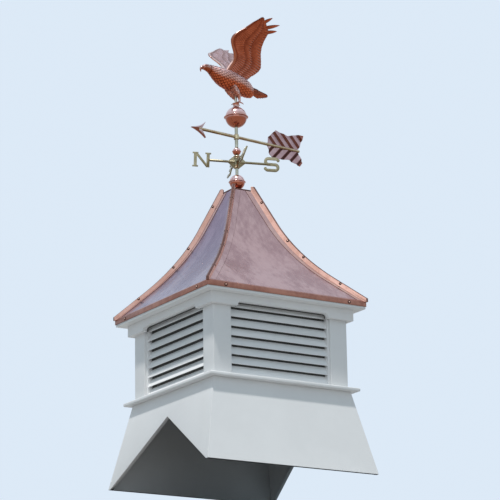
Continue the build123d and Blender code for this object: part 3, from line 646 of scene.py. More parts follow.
def own_copy(node_name, edge, sharper_than=35):
    """A copy of one of the model's solids, its triangles merged and its edges rounded."""
    piece = plain_copy(node_name)
    open_all(piece)
    bpy.ops.mesh.remove_doubles(threshold=MERGE_REACH)
    bpy.ops.mesh.dissolve_limited(angle_limit=FLAT_ANGLE)
    close()
    applied(piece, "BEVEL", width=edge * MM, segments=2, limit_method="ANGLE",
            angle_limit=math.radians(sharper_than), use_clamp_overlap=True)
    return piece


# Boards, posts, plates and castings: the nodes, the rounding in millimetres, the finish and the kind of piece
EASED = (
    (("apron_front", "apron_back", "apron_left", "apron_right"), 1.6, WHITE_VINYL, "board"),
    (("sill", "soffit"), 1.2, WHITE_VINYL, "board"),
    (("post_front_left", "post_front_right", "post_back_left", "post_back_right"), 0.9, WHITE_VINYL, "post"),
    (("frieze_front", "frieze_back", "frieze_left", "frieze_right"), 1.6, WHITE_VINYL, "board"),
    (("louver_front", "louver_back", "louver_left", "louver_right"), 0.9, LOUVER_VINYL, "frame"),
    # the cap plate is painted dark as shade, paler on top
    (("roof_cap",), 0.9, SHADE_LINE_COPPER, "plate"),
    (("compass_hub",), 1.5, YELLOW_BRASS, "casting"),
    (("letter_n", "letter_e", "letter_s", "letter_w"), 1.3, YELLOW_BRASS, "casting"),
    (("arrow_head",), 0.6, HEAD_COPPER, "plate"),
    (("arrow_shaft",), 1.5, SHAFT_BRASS, "tube"),
)


def eased_pieces():
    """Boards, plates and castings with their edges rounded, in place of the model's own."""
    for names, edge, material, kind in EASED:
        for name in names:
            ready(own_copy(name, edge), name + "_" + kind, material, nodes[name]["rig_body"], SLOT_OF[name],
                  name, angle=CRISP)


SCREEN_Y = -341 * MM                    # between the blades and the inner face of the front louver
SCREEN_HALF_W = 274 * MM
SCREEN_LOW = 443 * MM
SCREEN_HIGH = 810 * MM
SCREEN_T = 1.6 * MM
SCREEN_RIM = 5 * MM


def insect_screens():
    """A dark screen cloth in a narrow rim, behind the blades of each louver."""
    for side, quarter in zip(SIDES, QUARTERS):
        middle = (0, SCREEN_Y, (SCREEN_LOW + SCREEN_HIGH) / 2)
        bpy.ops.mesh.primitive_grid_add(x_subdivisions=8, y_subdivisions=6, size=1, location=middle,
                                        rotation=(math.radians(90), 0, 0))
        cloth = bpy.context.object
        cloth.scale = (2 * SCREEN_HALF_W, SCREEN_HIGH - SCREEN_LOW, 1)
        into_mesh(cloth)
        open_all(cloth)
        bpy.ops.mesh.inset(thickness=SCREEN_RIM)
        close()
        applied(cloth, "SOLIDIFY", thickness=SCREEN_T, offset=0)
        cloth.matrix_world = quarter
        ready(cloth, "insect_screen_" + side, SCREEN_CLOTH_AND_SHADE, "cupola", SLOT_OF["louver_" + side])


ARCH_HALF = 258 * MM                    # of the cut in a frieze board
ARCH_FOOT_Z = 767 * MM
ARCH_TOP_Z = 788 * MM
# The painted shadow line under each arch
SHADE_LINE_Y = -377.5 * MM                    # in the gap behind the frieze board
SHADE_LINE_R = 2.8 * MM
SHADE_LINE_RISE = 10 * MM
SHADE_LINE_CORNER = ((2, 2), (12, 0), (24, 0))    # in from its side and down from its top, in millimetres


def arch_shade_lines():
    """A dark strip in the gap between the arch of each frieze board and its louver, a painted shadow line
    along the arch.
    """
    side_x = ARCH_HALF - SHADE_LINE_R
    top_z = ARCH_TOP_Z - SHADE_LINE_R
    half = [(side_x, ARCH_FOOT_Z), (side_x, ARCH_FOOT_Z + SHADE_LINE_RISE)]
    half += [(side_x - across * MM, top_z - down * MM) for across, down in SHADE_LINE_CORNER]
    line = half + [(0, top_z)] + [(-x, z) for x, z in reversed(half)]
    for side, quarter in zip(SIDES, QUARTERS):
        shade_line = rod([(x, SHADE_LINE_Y, z) for x, z in line], [SHADE_LINE_R] * len(line))
        shade_line.matrix_world = quarter
        ready(shade_line, "arch_painted_shade_" + side, SCREEN_CLOTH_AND_SHADE, "cupola", SLOT_OF["frieze_" + side])


# Roof

HIPS = (("front_left", (1, -1)), ("front_right", (1, 1)), ("back_right", (1, -1)), ("back_left", (1, 1)))
OPEN_HIP = "front_left"                 # the one whose flanges are as bright as the sheets beside them
CAP_FINISHES = (RIB_COPPER, ROOF_COPPER, SIDE_ROOF_PAINTED_SKY, SHADE_LINE_COPPER, FLANGE_COPPER)
RIB_HALF = 8 * MM
FLANGE_OFF = 30 * MM                    # hip to the edge of a flange, level
FLANGE_EDGE = 0.8 * MM                  # of each flange, a painted shade line
RIB_EDGE = 0.1 * MM                     # of each flange, still in the rib's finish
RIB_FOOT_Z = 900 * MM                   # the cut end of a rib is lower than this
CUT_LEVEL = 0.2                         # a cut end faces no more than this up or down, and at least
CUT_OUTWARD = 0.6                       # this far outwards
# Distance from the mast and height, in millimetres
STRIP_PROFILE = ((450.2, 834.5), (453.2, 834.5), (453.2, 859.2), (447.2, 865.2), (446.5, 864.5),
                 (452.0, 858.4), (450.2, 858.0), (450.2, 834.5))
STRIP_FACE_Y = -453.2 * MM
STRIP_EDGE = 0.4 * MM
SCREW_HEAD = ((0, 3.0), (1.3, 2.8), (2.5, 2.1), (3.1, 1.1), (3.2, 0.2), (0, 0.2))
SCREW_WASHER = ((0, 0.9), (6.0, 0.8), (7.0, 0.3), (7.2, -0.4), (0, -0.4))
HIP_SCREW_Z = mm(960, 1110, 1200, 1410)
STRIP_SCREW_X = 352 * MM
STRIP_SCREW_Z = 846.5 * MM
STRIP_SCREW_SIZE = 1.3
APRON_SCREW_SIZE = 0.8
APRON_SCREW_Z = 38 * MM
APRON_SCREW_IN = 9 * MM                 # from the corner of the base
BASE_HALF = 479 * MM
APRON_LEAN = 89.5 / 413                 # how far the base draws in for each unit of height


def cap_finish(face, across, is_open):
    """The finish of one face of a hip's cap: its rib, its flanges, or the painted shade line on their edges
    and cut foot.
    """
    middle = face.center
    off = abs(middle.x * across[0] + middle.y * across[1]) / math.sqrt(2)
    outward = Vector((middle.x, middle.y, 0)).normalized()
    cut = abs(face.normal.z) < CUT_LEVEL and face.normal.dot(outward) > CUT_OUTWARD
    if off > FLANGE_OFF - FLANGE_EDGE or (cut and middle.z < RIB_FOOT_Z):
        return SHADE_LINE_COPPER
    if off <= RIB_HALF + RIB_EDGE:
        return RIB_COPPER
    if not is_open:
        return FLANGE_COPPER
    return ROOF_COPPER if abs(middle.y) > abs(middle.x) else SIDE_ROOF_PAINTED_SKY


def hip_caps():
    """Folded caps over the hips: a raised rib between two paler flanges; the rib's upward faces are painted
    dark as a reflection, and the flanges' outer edges and the rib's cut foot are painted dark as shade.
    """
    for name, across in HIPS:
        node_name = "hip_rib_" + name
        piece = own_copy(node_name, edge=0.5, sharper_than=40)
        ready(piece, "hip_cap_" + name, CAP_FINISHES[0], "cupola", "rib_copper", node_name, angle=CRISP)
        for material in CAP_FINISHES[1:]:
            piece.data.materials.append(material)
        for face in piece.data.polygons:
            face.material_index = CAP_FINISHES.index(cap_finish(face, across, name == OPEN_HIP))


def roof_strip():
    """The drip strip that laps the foot of the sheets on all four sides, with mitred corners."""
    profile = [(distance * math.sqrt(2) * MM, height * MM) for distance, height in STRIP_PROFILE]
    strip = spun(profile, steps=4)
    strip.matrix_world = Matrix.Rotation(math.radians(45), 4, "Z")
    into_mesh(strip)
    applied(strip, "BEVEL", width=STRIP_EDGE, segments=2, limit_method="ANGLE",
            angle_limit=math.radians(CRISP))
    ready(strip, "roof_drip_strip", FASCIA_COPPER, "cupola", "roof_copper", angle=CRISP)


def facing(point, normal):
    """The place of a small piece that stands on a surface, its own Z along the normal."""
    place = normal.to_track_quat("Z", "Y").to_matrix().to_4x4()
    place.translation = point
    return place


def screw_of(size, head_finish, washer_finish):
    """A domed screw on its washer."""
    parts = []
    for profile, material in ((SCREW_HEAD, head_finish), (SCREW_WASHER, washer_finish)):
        part = spun([(size * radius * MM, size * height * MM) for radius, height in profile], steps=14)
        part.data.materials.append(material)
        parts.append(part)
    return joined("screw", parts)


def roof_screws():
    """Domed screws with washers on the sides of the hip ribs and on the drip strip."""
    places = []
    outward = Vector((1, -1, 0)).normalized()
    across = Vector((1, 1, 0)).normalized()
    for height in HIP_SCREW_Z:
        level = Vector((0, 0, height))
        _, face, _, _ = nodes["roof_sheet_front"].ray_cast(Vector((0, -1, height)), Vector((0, 1, 0)))
        _, crest, _, _ = nodes["hip_rib_front_right"].ray_cast(outward + level, -outward)
        foot = -face.y * math.sqrt(2)
        middle = outward * (foot + Vector((crest.x, crest.y, 0)).length) / 2 + level
        for side in (1, -1):
            places.append(facing(middle + across * side * RIB_HALF, across * side))
    for side in (1, -1):
        seat = facing(Vector((side * STRIP_SCREW_X, STRIP_FACE_Y, STRIP_SCREW_Z)), Vector((0, -1, 0)))
        places.append(seat @ Matrix.Scale(STRIP_SCREW_SIZE, 4))
    screws = strewn("screws", screw_of(1.0, SCREW_COPPER, SCREW_RING),
                    [quarter @ place for quarter in QUARTERS for place in places])
    ready(screws, "roof_screws", None, "cupola", "roof_copper", angle=ROUND)


def apron_screws():
    """A white screw near the foot of each corner of the base, on its left and right sides."""
    places = []
    corner_y = BASE_HALF - APRON_SCREW_Z * APRON_LEAN - APRON_SCREW_IN
    for side, name in ((-1, "apron_left"), (1, "apron_right")):
        for end in (-1, 1):
            start = Vector((side * 1.0, end * corner_y, APRON_SCREW_Z))
            hit, point, normal, _ = nodes[name].ray_cast(start, Vector((-side, 0, 0)))
            if hit:
                places.append(facing(point, normal))
    screws = strewn("apron_screws", screw_of(APRON_SCREW_SIZE, WHITE_VINYL, WHITE_VINYL), places)
    ready(screws, "apron_corner_screws", WHITE_VINYL, "cupola", "white_vinyl", angle=ROUND)


# Eagle: its own frame is U forward, V to its left, heights above the perch

VANE_YAW = math.radians(186.3)
PERCH_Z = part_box("upper_ball")[1].z
BANK = math.radians(10)
BANK_AXIS_H = 110 * MM
WING_DIHEDRAL = math.radians(60)
WING_ROOT_V = 5 * MM
WING_ROOT_H = 40 * MM
WING_T = 4 * MM
WING_CAMBER_R = 1100 * MM
WING_CREST = 140 * MM

TO_VANE = Matrix.Rotation(VANE_YAW, 4, "Z") @ Matrix.Translation((0, 0, PERCH_Z))
TO_BANK = (Matrix.Translation((0, 0, BANK_AXIS_H)) @ Matrix.Rotation(BANK, 4, "X")
           @ Matrix.Translation((0, 0, -BANK_AXIS_H)))
TO_WING = (Matrix.Translation((0, WING_ROOT_V, BANK_AXIS_H + WING_ROOT_H))
           @ Matrix.Rotation(WING_DIHEDRAL, 4, "X"))

BODY_RINGS = [mm(*ring) for ring in (
    (209, 151, 5, 6), (206, 152, 9.5, 11), (199, 155, 13.5, 15.5), (188, 156, 16.5, 18.5),
    (176, 153.5, 18, 20.5), (164, 149.5, 19, 23), (153, 145, 21, 28), (134, 136.5, 28, 36),
    (113, 128, 34, 43), (85, 122, 40, 49), (55, 117, 44, 52), (28, 113, 45.5, 51), (0, 108, 45, 49),
    (-34, 101, 41, 47), (-66, 93, 35, 44), (-88, 84, 28, 35), (-102, 78.5, 20, 26), (-110, 76, 9, 12))]
BODY_BACK = BODY_RINGS[-1][0]

# Half widths of a feather from its root to its tip, as shares of its width
SCALE_SHAPE = (0.30, 0.46, 0.50, 0.44, 0.18)
BLADE_SHAPE = (0.28, 0.42, 0.48, 0.50, 0.50, 0.49, 0.44, 0.30, 0.08)
NEAR = 0.01                             # of a feather's length or width, to tell its rows apart

# Scale feathers of the body. Each pair: millimetres at the neck, and what the breast adds
SCALES_FROM_U = 170 * MM
SCALES_TO_U = -99 * MM
NECK_U = 160 * MM
BREAST_OFF = 130 * MM
SCALE_LENGTH = (13, 16)
SCALE_GIRTH_R = (20, 26)
SCALE_SPACING = (10, 5)
SCALE_MIN_COUNT = 10
SCALE_STEP = 0.52                       # of a scale's length, from one row to the next
SCALE_SINK = 0.8 * MM
BACK_CLEAR = 2 * MM                     # the last row ends this far short of the body's end
SCALE_OVERLAP = 1.3
SCALE_LIFT = math.radians(7)


def perched(obj, banked=False):
    """Moves a piece from the eagle's own frame to its place on the vane."""
    obj.matrix_world = TO_VANE @ (TO_BANK if banked else Matrix.Identity(4)) @ obj.matrix_world
    into_mesh(obj)
    return obj


def feather(half_widths, material, camber, thickness, across=2):
    """A feather of unit length and width lying along +X, its root at the origin and its quill raised."""
    rows = len(half_widths)
    bpy.ops.mesh.primitive_grid_add(x_subdivisions=rows - 1, y_subdivisions=across, size=1,
                                    location=(0.5, 0, 0))
    blade = bpy.context.object
    into_mesh(blade)
    open_all(blade)
    for row, half_width in enumerate(half_widths):
        level = row / (rows - 1)
        pick(blade, lambda place: abs(place.x - level) < NEAR)
        bpy.ops.transform.resize(value=(1, 2 * half_width, 1), center_override=(level, 0, 0))
    pick(blade, lambda place: abs(place.y) < NEAR)
    bpy.ops.transform.translate(value=(0, 0, camber))
    close()
    applied(blade, "SOLIDIFY", thickness=thickness, offset=-1)
    blade.data.materials.append(material)
    return blade


def skinned(obj, material=FIGURE_COPPER):
    """Gives a piece of the figure its copper."""
    obj.data.materials.clear()
    obj.data.materials.append(material)
    return obj


def lying(root, tip, normal, width, lift):
    """The place of a unit feather from its root to its tip, its tip lifted off the surface by an angle."""
    along = tip - root
    length = along.length
    side = normal.cross(along).normalized()
    along = (along.normalized() * math.cos(lift) + normal * math.sin(lift)).normalized()
    place = Matrix((along * length, side * width, along.cross(side))).transposed().to_4x4()
    place.translation = root
    return place


def axis_height(u):
    """The height of the middle of the body at U."""
    for (u0, h0, *_), (u1, h1, *_) in zip(BODY_RINGS, BODY_RINGS[1:]):
        if u0 >= u >= u1:
            return h0 + (h1 - h0) * (u0 - u) / (u0 - u1)


def on_body(body, u, around):
    """The point just under a body's skin at U, at an angle about its middle, 0 at its left side."""
    ray = Vector((0, math.cos(around), math.sin(around)))
    _, point, normal, _ = body.ray_cast(Vector((u, 0, axis_height(u))), ray)
    return point - normal * SCALE_SINK, normal


def grown(pair, share):
    """A measure that goes from the first of a pair to the sum of both, in metres."""
    return (pair[0] + pair[1] * share) * MM


def body_scales(body):
    """Rows of overlapping feathers from behind the head to the tail, every other row half a feather round."""
    places = []
    u = SCALES_FROM_U
    row = 0
    while u > SCALES_TO_U:
        breast = max(0.0, min(1.0, (NECK_U - u) / BREAST_OFF))
        length = grown(SCALE_LENGTH, breast)
        girth = math.tau * grown(SCALE_GIRTH_R, breast)
        count = max(SCALE_MIN_COUNT, round(girth / grown(SCALE_SPACING, breast)))
        for k in range(count):
            around = math.tau * (k + 0.5 * (row % 2)) / count
            root, normal = on_body(body, u, around)
            tip, _ = on_body(body, max(u - length, BODY_BACK + BACK_CLEAR), around)
            reach = math.hypot(root.y, root.z - axis_height(u))
            places.append(lying(root, tip, normal, SCALE_OVERLAP * math.tau * reach / count, SCALE_LIFT))
        u -= SCALE_STEP * length
        row += 1
    scale = feather(SCALE_SHAPE, SCALE_COPPER, camber=1.6 * MM, thickness=0.9 * MM)
    return strewn("body_scales", scale, places)


def eagle_body():
    """Body and head in one skin, with scale feathers from the neck back."""
    body = skinned(drawn(BODY_RINGS))
    applied(body, "SUBSURF", levels=1, render_levels=1)
    return body, body_scales(body)


# Wings: modelled flat, X forward and Y out from the root, then cambered, raised and banked

LEADING = [mm(*point) for point in (
    (76, -4), (52, 43), (34, 72), (30, 92), (36, 116), (50, 133), (65, 154), (72, 175), (70, 191), (60, 206),
    (7, 248), (-38, 290), (-86, 326))]
TRAILING = [mm(*point) for point in (
    (-56, -5), (-76, 5), (-107, 25), (-133, 48), (-145, 69), (-139, 104), (-128, 141), (-126, 175),
    (-131, 205), (-140, 232), (-146, 250), (-136, 276), (-112, 300), (-90, 323))]
PRIMARIES = [(mm(*base), mm(*tip)) for base, tip in (
    ((-52, 262), (-145, 332)), ((-62, 252), (-200, 306)), ((-76, 236), (-194, 273)))]
PRIMARY_W = 19 * MM
PRIMARY_OFF = 0.3 * MM
ROW_START = 0.02                        # of the edges' length, where each row starts
NEXT = 0.02                             # a step along the edges that gives the spacing there
LONG_END = 0.97
SMALL_END = 0.96
# Each row: count, root and tip as shares of the wing's depth, overlap, lift in degrees, height off the
# sheet, and how many feathers it is shifted along
LONG_ROWS = ((27, 0.42, 1.0, 1.35, 0.5, 0.2 * MM, 0.0), (30, 0.30, 0.66, 1.3, 1.2, 0.9 * MM, 0.5))
SMALL_ROWS = [(40 - 2 * row, 0.06 + 0.055 * row, 0.06 + 0.055 * row + 0.13, 1.35, 3,
               1.6 * MM - 0.12 * row * MM, 0.5 * (row % 2)) for row in range(5)]
EDGE_STEPS = 14
EDGE_INSET = 7 * MM
EDGE_R = (11.5, -8.5)                   # millimetres at the shoulder, and what the tip adds
EDGE_FLATNESS = 0.65
SHEET_STEPS = 40


def along(line, share):
    """The point at a share of the length of a chain of points."""
    points = [Vector((*point, 0)) for point in line]
    spans = [(b - a).length for a, b in zip(points, points[1:])]
    left = share * sum(spans)
    for start, end, span in zip(points, points[1:], spans):
        if left <= span:
            return start.lerp(end, left / span)
        left -= span
    return points[-1]


def wing_row(piece, side, end, count, root_share, tip_share, overlap, lift, raised, offset):
    """A row of feathers over one face of the flat wing, from the leading to the trailing edge."""
    normal = Vector((0, 0, side))
    level = raised if side > 0 else -WING_T - raised
    row = []
    for k in range(count):
        share = ROW_START + (end - ROW_START) * (k + offset) / (count - 1)
        lead = along(LEADING, share)
        trail = along(TRAILING, share)
        root = lead.lerp(trail, root_share)
        tip = lead.lerp(trail, tip_share)
        middle_share = 0.5 * (root_share + tip_share)
        ahead = along(LEADING, share + NEXT).lerp(along(TRAILING, share + NEXT), middle_share)
        step = (ahead - root.lerp(tip, 0.5)).length / NEXT
        width = overlap * step * (end - ROW_START) / (count - 1)
        root.z = level
        tip.z = level
        row.append(copied(piece, lying(root, tip, normal, width, math.radians(lift))))
    return row


def cambered(obj):
    """Bends a flat wing piece down towards its root and its tip."""
    for vertex in obj.data.vertices:
        reach = vertex.co.y - WING_CREST
        vertex.co.z += math.sqrt(WING_CAMBER_R ** 2 - reach ** 2) - WING_CAMBER_R
    return obj


def wing_feathers():
    """Both faces of a wing: flight feathers, a row of coverts and small scales behind the leading edge."""
    blade = feather(BLADE_SHAPE, BLADE_COPPER, camber=1.5 * MM, thickness=0.8 * MM)
    scale = feather(SCALE_SHAPE, BLADE_COPPER, camber=1.2 * MM, thickness=0.8 * MM)
    pieces = []
    for side in (1, -1):
        level = PRIMARY_OFF if side > 0 else -WING_T - PRIMARY_OFF
        for base, tip in PRIMARIES:
            place = lying(Vector((*base, level)), Vector((*tip, level)), Vector((0, 0, side)), PRIMARY_W, 0)
            pieces.append(copied(blade, place))
        for row in LONG_ROWS:
            pieces += wing_row(blade, side, LONG_END, *row)
        for row in SMALL_ROWS:
            pieces += wing_row(scale, side, SMALL_END, *row)
    bpy.data.objects.remove(blade)
    bpy.data.objects.remove(scale)
    whole = joined("wing_feathers", pieces)
    into_mesh(whole)
    return cambered(whole)


def wing_edge():
    """The rolled leading edge, from the shoulder round the wrist to the tip."""
    middle = -WING_T / 2
    points = []
    radii = []
    for k in range(EDGE_STEPS + 1):
        share = k / EDGE_STEPS
        lead = along(LEADING, share)
        spot = lead + (along(TRAILING, share) - lead).normalized() * EDGE_INSET
        points.append((spot.x, spot.y, middle))
        radii.append(grown(EDGE_R, share))
    # The roll's paler copper is a painted highlight
    edge = skinned(rod(points, radii), PAINTED_HIGHLIGHT_COPPER)
    for vertex in edge.data.vertices:
        vertex.co.z = middle + EDGE_FLATNESS * (vertex.co.z - middle)
    return cambered(edge)


def wing_sheet():
    """A thin sheet between the leading and the trailing edge that carries the feathers."""
    outline = [along(LEADING, k / SHEET_STEPS) for k in range(SHEET_STEPS + 1)]
    outline += [along(TRAILING, 1 - k / SHEET_STEPS) for k in range(SHEET_STEPS + 1)]
    line, spline = line_through("wing_sheet", "POLY", "2D", outline)
    line.fill_mode = "BOTH"
    spline.use_cyclic_u = True
    sheet = meshed(line)
    open_all(sheet)
    bpy.ops.mesh.subdivide(number_cuts=3)
    close()
    applied(sheet, "SOLIDIFY", thickness=WING_T, offset=-1)
    facing_out(sheet)
    low = min(vertex.co.z for vertex in sheet.data.vertices)
    for vertex in sheet.data.vertices:
        vertex.co.z -= low + WING_T
    return cambered(skinned(sheet))


def eagle_wings():
    """The left wing, and the right one as its mirror image, each in one piece."""
    left = joined("left_wing", [wing_sheet(), wing_edge(), wing_feathers()])
    left.matrix_world = TO_WING
    into_mesh(left)
    right = copied(left, Matrix.Scale(-1, 4, (0, 1, 0)))
    into_mesh(right)
    open_all(right)
    bpy.ops.mesh.normals_make_consistent(inside=False)
    close()
    return perched(left, banked=True), perched(right, banked=True)


# Tail, legs and head

TAIL_ROOT = -84 * MM
TAIL_END = -205 * MM
TAIL_HALF_W = 42 * MM
TAIL_ARCH = 12 * MM
TAIL_ARCH_R = (TAIL_HALF_W ** 2 + TAIL_ARCH ** 2) / (2 * TAIL_ARCH)
TAIL_ROOT_H = 104 * MM
TAIL_DROP = math.radians(13)
TAIL_T = 4 * MM                         # between its upper and its lower feathers
TAIL_COUNT = 11
TAIL_INSET = 6 * MM
TAIL_SHINGLE = 0.5 * MM                 # how much lower the outer feathers lie
TAIL_FEATHER_W = 15 * MM
TAIL_ROOT_SPREAD = 9 * MM
TAIL_TIP_SPREAD = 34 * MM
TAIL_ROUNDING = 26 * MM                 # how much sooner the outer feathers end
COVERT_ROWS = ((-128, 26), (-112, 19), (-98, 14))   # where each ends and its spread there, in millimetres
COVERT_COUNT = 9
COVERT_W = 11 * MM
COVERT_INSET = 8 * MM
COVERT_RAISED = (1, 0.7)                # millimetres for the first row, and what each further one adds
COVERT_LIFT = math.radians(1)

# Joints of the left leg in millimetres
HIP = (37, 20, 84)
KNEE = (-8, 16, 36)
ANKLE = (-13, 15, 18)
FOOT = (-13, 15, 4)
THIGH_SHARES = (0.4, 0.75)              # of the way to the knee, where the thigh's line has more points
THIGH_RADII = mm(19, 19, 15.5, 10, 6, 5.5)
THIGH_SIDES = 20
THIGH_ROWS = 7
THIGH_START = 0.02                      # these four are shares of the way from the hip to the knee
THIGH_STEP = 0.13
THIGH_SCALE_LENGTH = 0.24
THIGH_END = 1.02
THIGH_COUNT = 12
THIGH_SINK = 0.6 * MM
THIGH_LIFT = math.radians(6)
TOE_BEARINGS = (35, 0, -35, 180)
TOE = ((0, 0, 2), (9, 0, 1.5), (18, 0, -0.5))       # toe and claw from the foot, in millimetres
TOE_RADII = mm(4, 3.6, 3)
CLAW = ((16, 0, -0.2), (22, 0, 0), (25.5, 0, -6))
CLAW_RADII = mm(2.4, 2.0, 0.5)

# Head: points and radii of each rod in millimetres; brows and eyes are given on the left
UPPER_BEAK = (((203, 0, 156), (213, 0, 153), (221, 0, 146), (224, 0, 134), (221, 0, 124)),
              (9.5, 8.2, 6.2, 3.6, 0.7))
LOWER_BEAK = (((200, 0, 147), (209, 0, 143.5), (217, 0, 141)), (6.5, 4.8, 1.6))
BROW = (((208, 9, 160), (198, 14, 163.5), (184, 16.5, 162)), (1.4, 3.2, 1.2))
EYE = (197, 12.8, 158.5)
EYE_R = 3.6 * MM


def eagle_tail():
    """Eleven long feathers fanned over an arch, with three rows of coverts on each face."""
    blade = feather(BLADE_SHAPE, BLADE_COPPER, camber=1.4 * MM, thickness=1.6 * MM, across=4)
    scale = feather(SCALE_SHAPE, BLADE_COPPER, camber=1.2 * MM, thickness=1.0 * MM)
    pieces = []
    for side in (1, -1):
        normal = Vector((0, 0, side))
        level = (side - 1) / 2 * TAIL_T
        for k in range(TAIL_COUNT):
            share = 2 * k / (TAIL_COUNT - 1) - 1
            drop = abs(share) * TAIL_SHINGLE
            root = Vector((TAIL_ROOT + TAIL_INSET, TAIL_ROOT_SPREAD * share, level - drop))
            tip = Vector((TAIL_END + TAIL_ROUNDING * share ** 2, TAIL_TIP_SPREAD * share, root.z))
            pieces.append(copied(blade, lying(root, tip, normal, TAIL_FEATHER_W, 0)))
        for row, (back, wide) in enumerate(COVERT_ROWS):
            for k in range(COVERT_COUNT - row % 2):
                share = 2 * (k + 0.5 * (row % 2)) / (COVERT_COUNT - 1) - 1
                raised = level + side * grown(COVERT_RAISED, row)
                root = Vector((TAIL_ROOT + COVERT_INSET, TAIL_ROOT_SPREAD * share, raised))
                tip = Vector((back * MM, wide * MM * share, root.z))
                pieces.append(copied(scale, lying(root, tip, normal, COVERT_W, COVERT_LIFT)))
    bpy.data.objects.remove(blade)
    bpy.data.objects.remove(scale)
    tail = joined("tail", pieces)
    into_mesh(tail)
    for vertex in tail.data.vertices:
        vertex.co.z += math.sqrt(max(0, TAIL_ARCH_R ** 2 - vertex.co.y ** 2)) - TAIL_ARCH_R
    pivot = Matrix.Translation((TAIL_ROOT, 0, TAIL_ROOT_H))
    tail.matrix_world = pivot @ Matrix.Rotation(-TAIL_DROP, 4, "Y") @ Matrix.Translation((-TAIL_ROOT, 0, 0))
    into_mesh(tail)
    return perched(tail)


def thigh_scales(leg, hip, knee):
    """Rows of scale feathers round a thigh, from the hip to the knee."""
    places = []
    axis = (knee - hip).normalized()
    across = axis.cross(Vector((0, 1, 0))).normalized()
    other = axis.cross(across)
    length = (knee - hip).length
    for row in range(THIGH_ROWS):
        share = THIGH_START + THIGH_STEP * row
        middle = hip + axis * length * share
        ahead = hip + axis * length * min(THIGH_END, share + THIGH_SCALE_LENGTH)
        count = THIGH_COUNT - row // 2
        for k in range(count):
            around = math.tau * (k + 0.5 * (row % 2)) / count
            ray = across * math.cos(around) + other * math.sin(around)
            hit, root, normal, _ = leg.ray_cast(middle, ray)
            hit_tip, tip, _, _ = leg.ray_cast(ahead, ray)
            if hit and hit_tip:
                sunk = normal * THIGH_SINK
                width = SCALE_OVERLAP * math.tau * (root - middle).length / count
                places.append(lying(root - sunk, tip - sunk, normal, width, THIGH_LIFT))
    scale = feather(SCALE_SHAPE, LIT_THIGH_SCALE_COPPER, camber=1.2 * MM, thickness=0.8 * MM)
    return strewn("thigh_scales", scale, places)


def eagle_legs():
    """Feathered thighs, bare shanks, and toes that grip the perch, each with a curved claw."""
    pieces = []
    for side in (1, -1):
        hip, knee, ankle, foot = [Vector(mm(u, v * side, h)) for u, v, h in (HIP, KNEE, ANKLE, FOOT)]
        between = [hip.lerp(knee, share) for share in THIGH_SHARES]
        thigh = rod([hip, *between, knee, ankle, foot], THIGH_RADII, THIGH_SIDES)
        pieces.append(thigh_scales(thigh, hip, knee))
        pieces.append(skinned(thigh, LIT_THIGH_COPPER))
        for bearing in TOE_BEARINGS:
            turn = Matrix.Rotation(math.radians(bearing), 3, "Z")
            toe = [foot + turn @ Vector(mm(*point)) for point in TOE]
            claw = [foot + turn @ Vector(mm(*point)) for point in CLAW]
            pieces.append(skinned(rod(toe, TOE_RADII), LIT_THIGH_COPPER))
            pieces.append(skinned(rod(claw, CLAW_RADII, sides=8)))
    return perched(joined("legs", pieces))


def head_rod(points, radii, sides, side=1):
    """A rod of the head, on the left or mirrored to the right."""
    return rod([mm(x, y * side, z) for x, y, z in points], mm(*radii), sides)


def eagle_head():
    """Hooked beak, brows and eyes."""
    pieces = [head_rod(*UPPER_BEAK, 16), head_rod(*LOWER_BEAK, 12)]
    for side in (1, -1):
        brow = head_rod(*BROW, 10, side)
        x, y, z = EYE
        bpy.ops.mesh.primitive_uv_sphere_add(segments=20, ring_count=12, radius=EYE_R,
                                             location=mm(x, y * side, z))
        eye = bpy.context.object
        into_mesh(eye)
        pieces += [brow, eye]
    return skinned(joined("head", pieces))


def eagle():
    """The eagle over its perch."""
    body, scales = eagle_body()
    trunk = perched(joined("eagle_trunk", [body, eagle_head(), scales]))
    left, right = eagle_wings()
    for piece, name, node in ((trunk, "eagle_feathered_body", "eagle_body"),
                              (left, "eagle_feathered_left_wing", "eagle_left_wing"),
                              (right, "eagle_feathered_right_wing", "eagle_right_wing"),
                              (eagle_tail(), "eagle_fanned_tail", "eagle_tail"),
                              (eagle_legs(), "eagle_feathered_legs", "eagle_legs")):
        ready(piece, name, None, "vane", "figure_copper", node)


# Arrow: the folds of its fletching, and the hub of the compass

FOLD_PITCH = 41 * MM
FOLD_ANGLE = math.radians(47)
FOLD_H = 50 * MM
LOWER_FOLD_U = -251 * MM
# The painted shade on the folds of the lower vane: the width and tone of its stripes
LOWER_FOLD_SHADE_W = 19 * MM
LOWER_FOLD_SHADE_TONE = (0.32, 0.17, 0.13)
TAIL_CORNER_U = -412 * MM
ARROW_Z = (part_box("arrow_head")[0].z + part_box("arrow_head")[1].z) / 2
HUB_YAW = math.radians(159)
HUB_LEAN = (math.radians(-5), math.radians(-1.7))
HUB_R = 11 * MM
BEAD_REACH = 12.5 * MM
# Height off the hub's middle and radius, in millimetres
BEADS = ((-29, 4.0), (-20, 2.6), (20, 2.6), (29, 4.0))


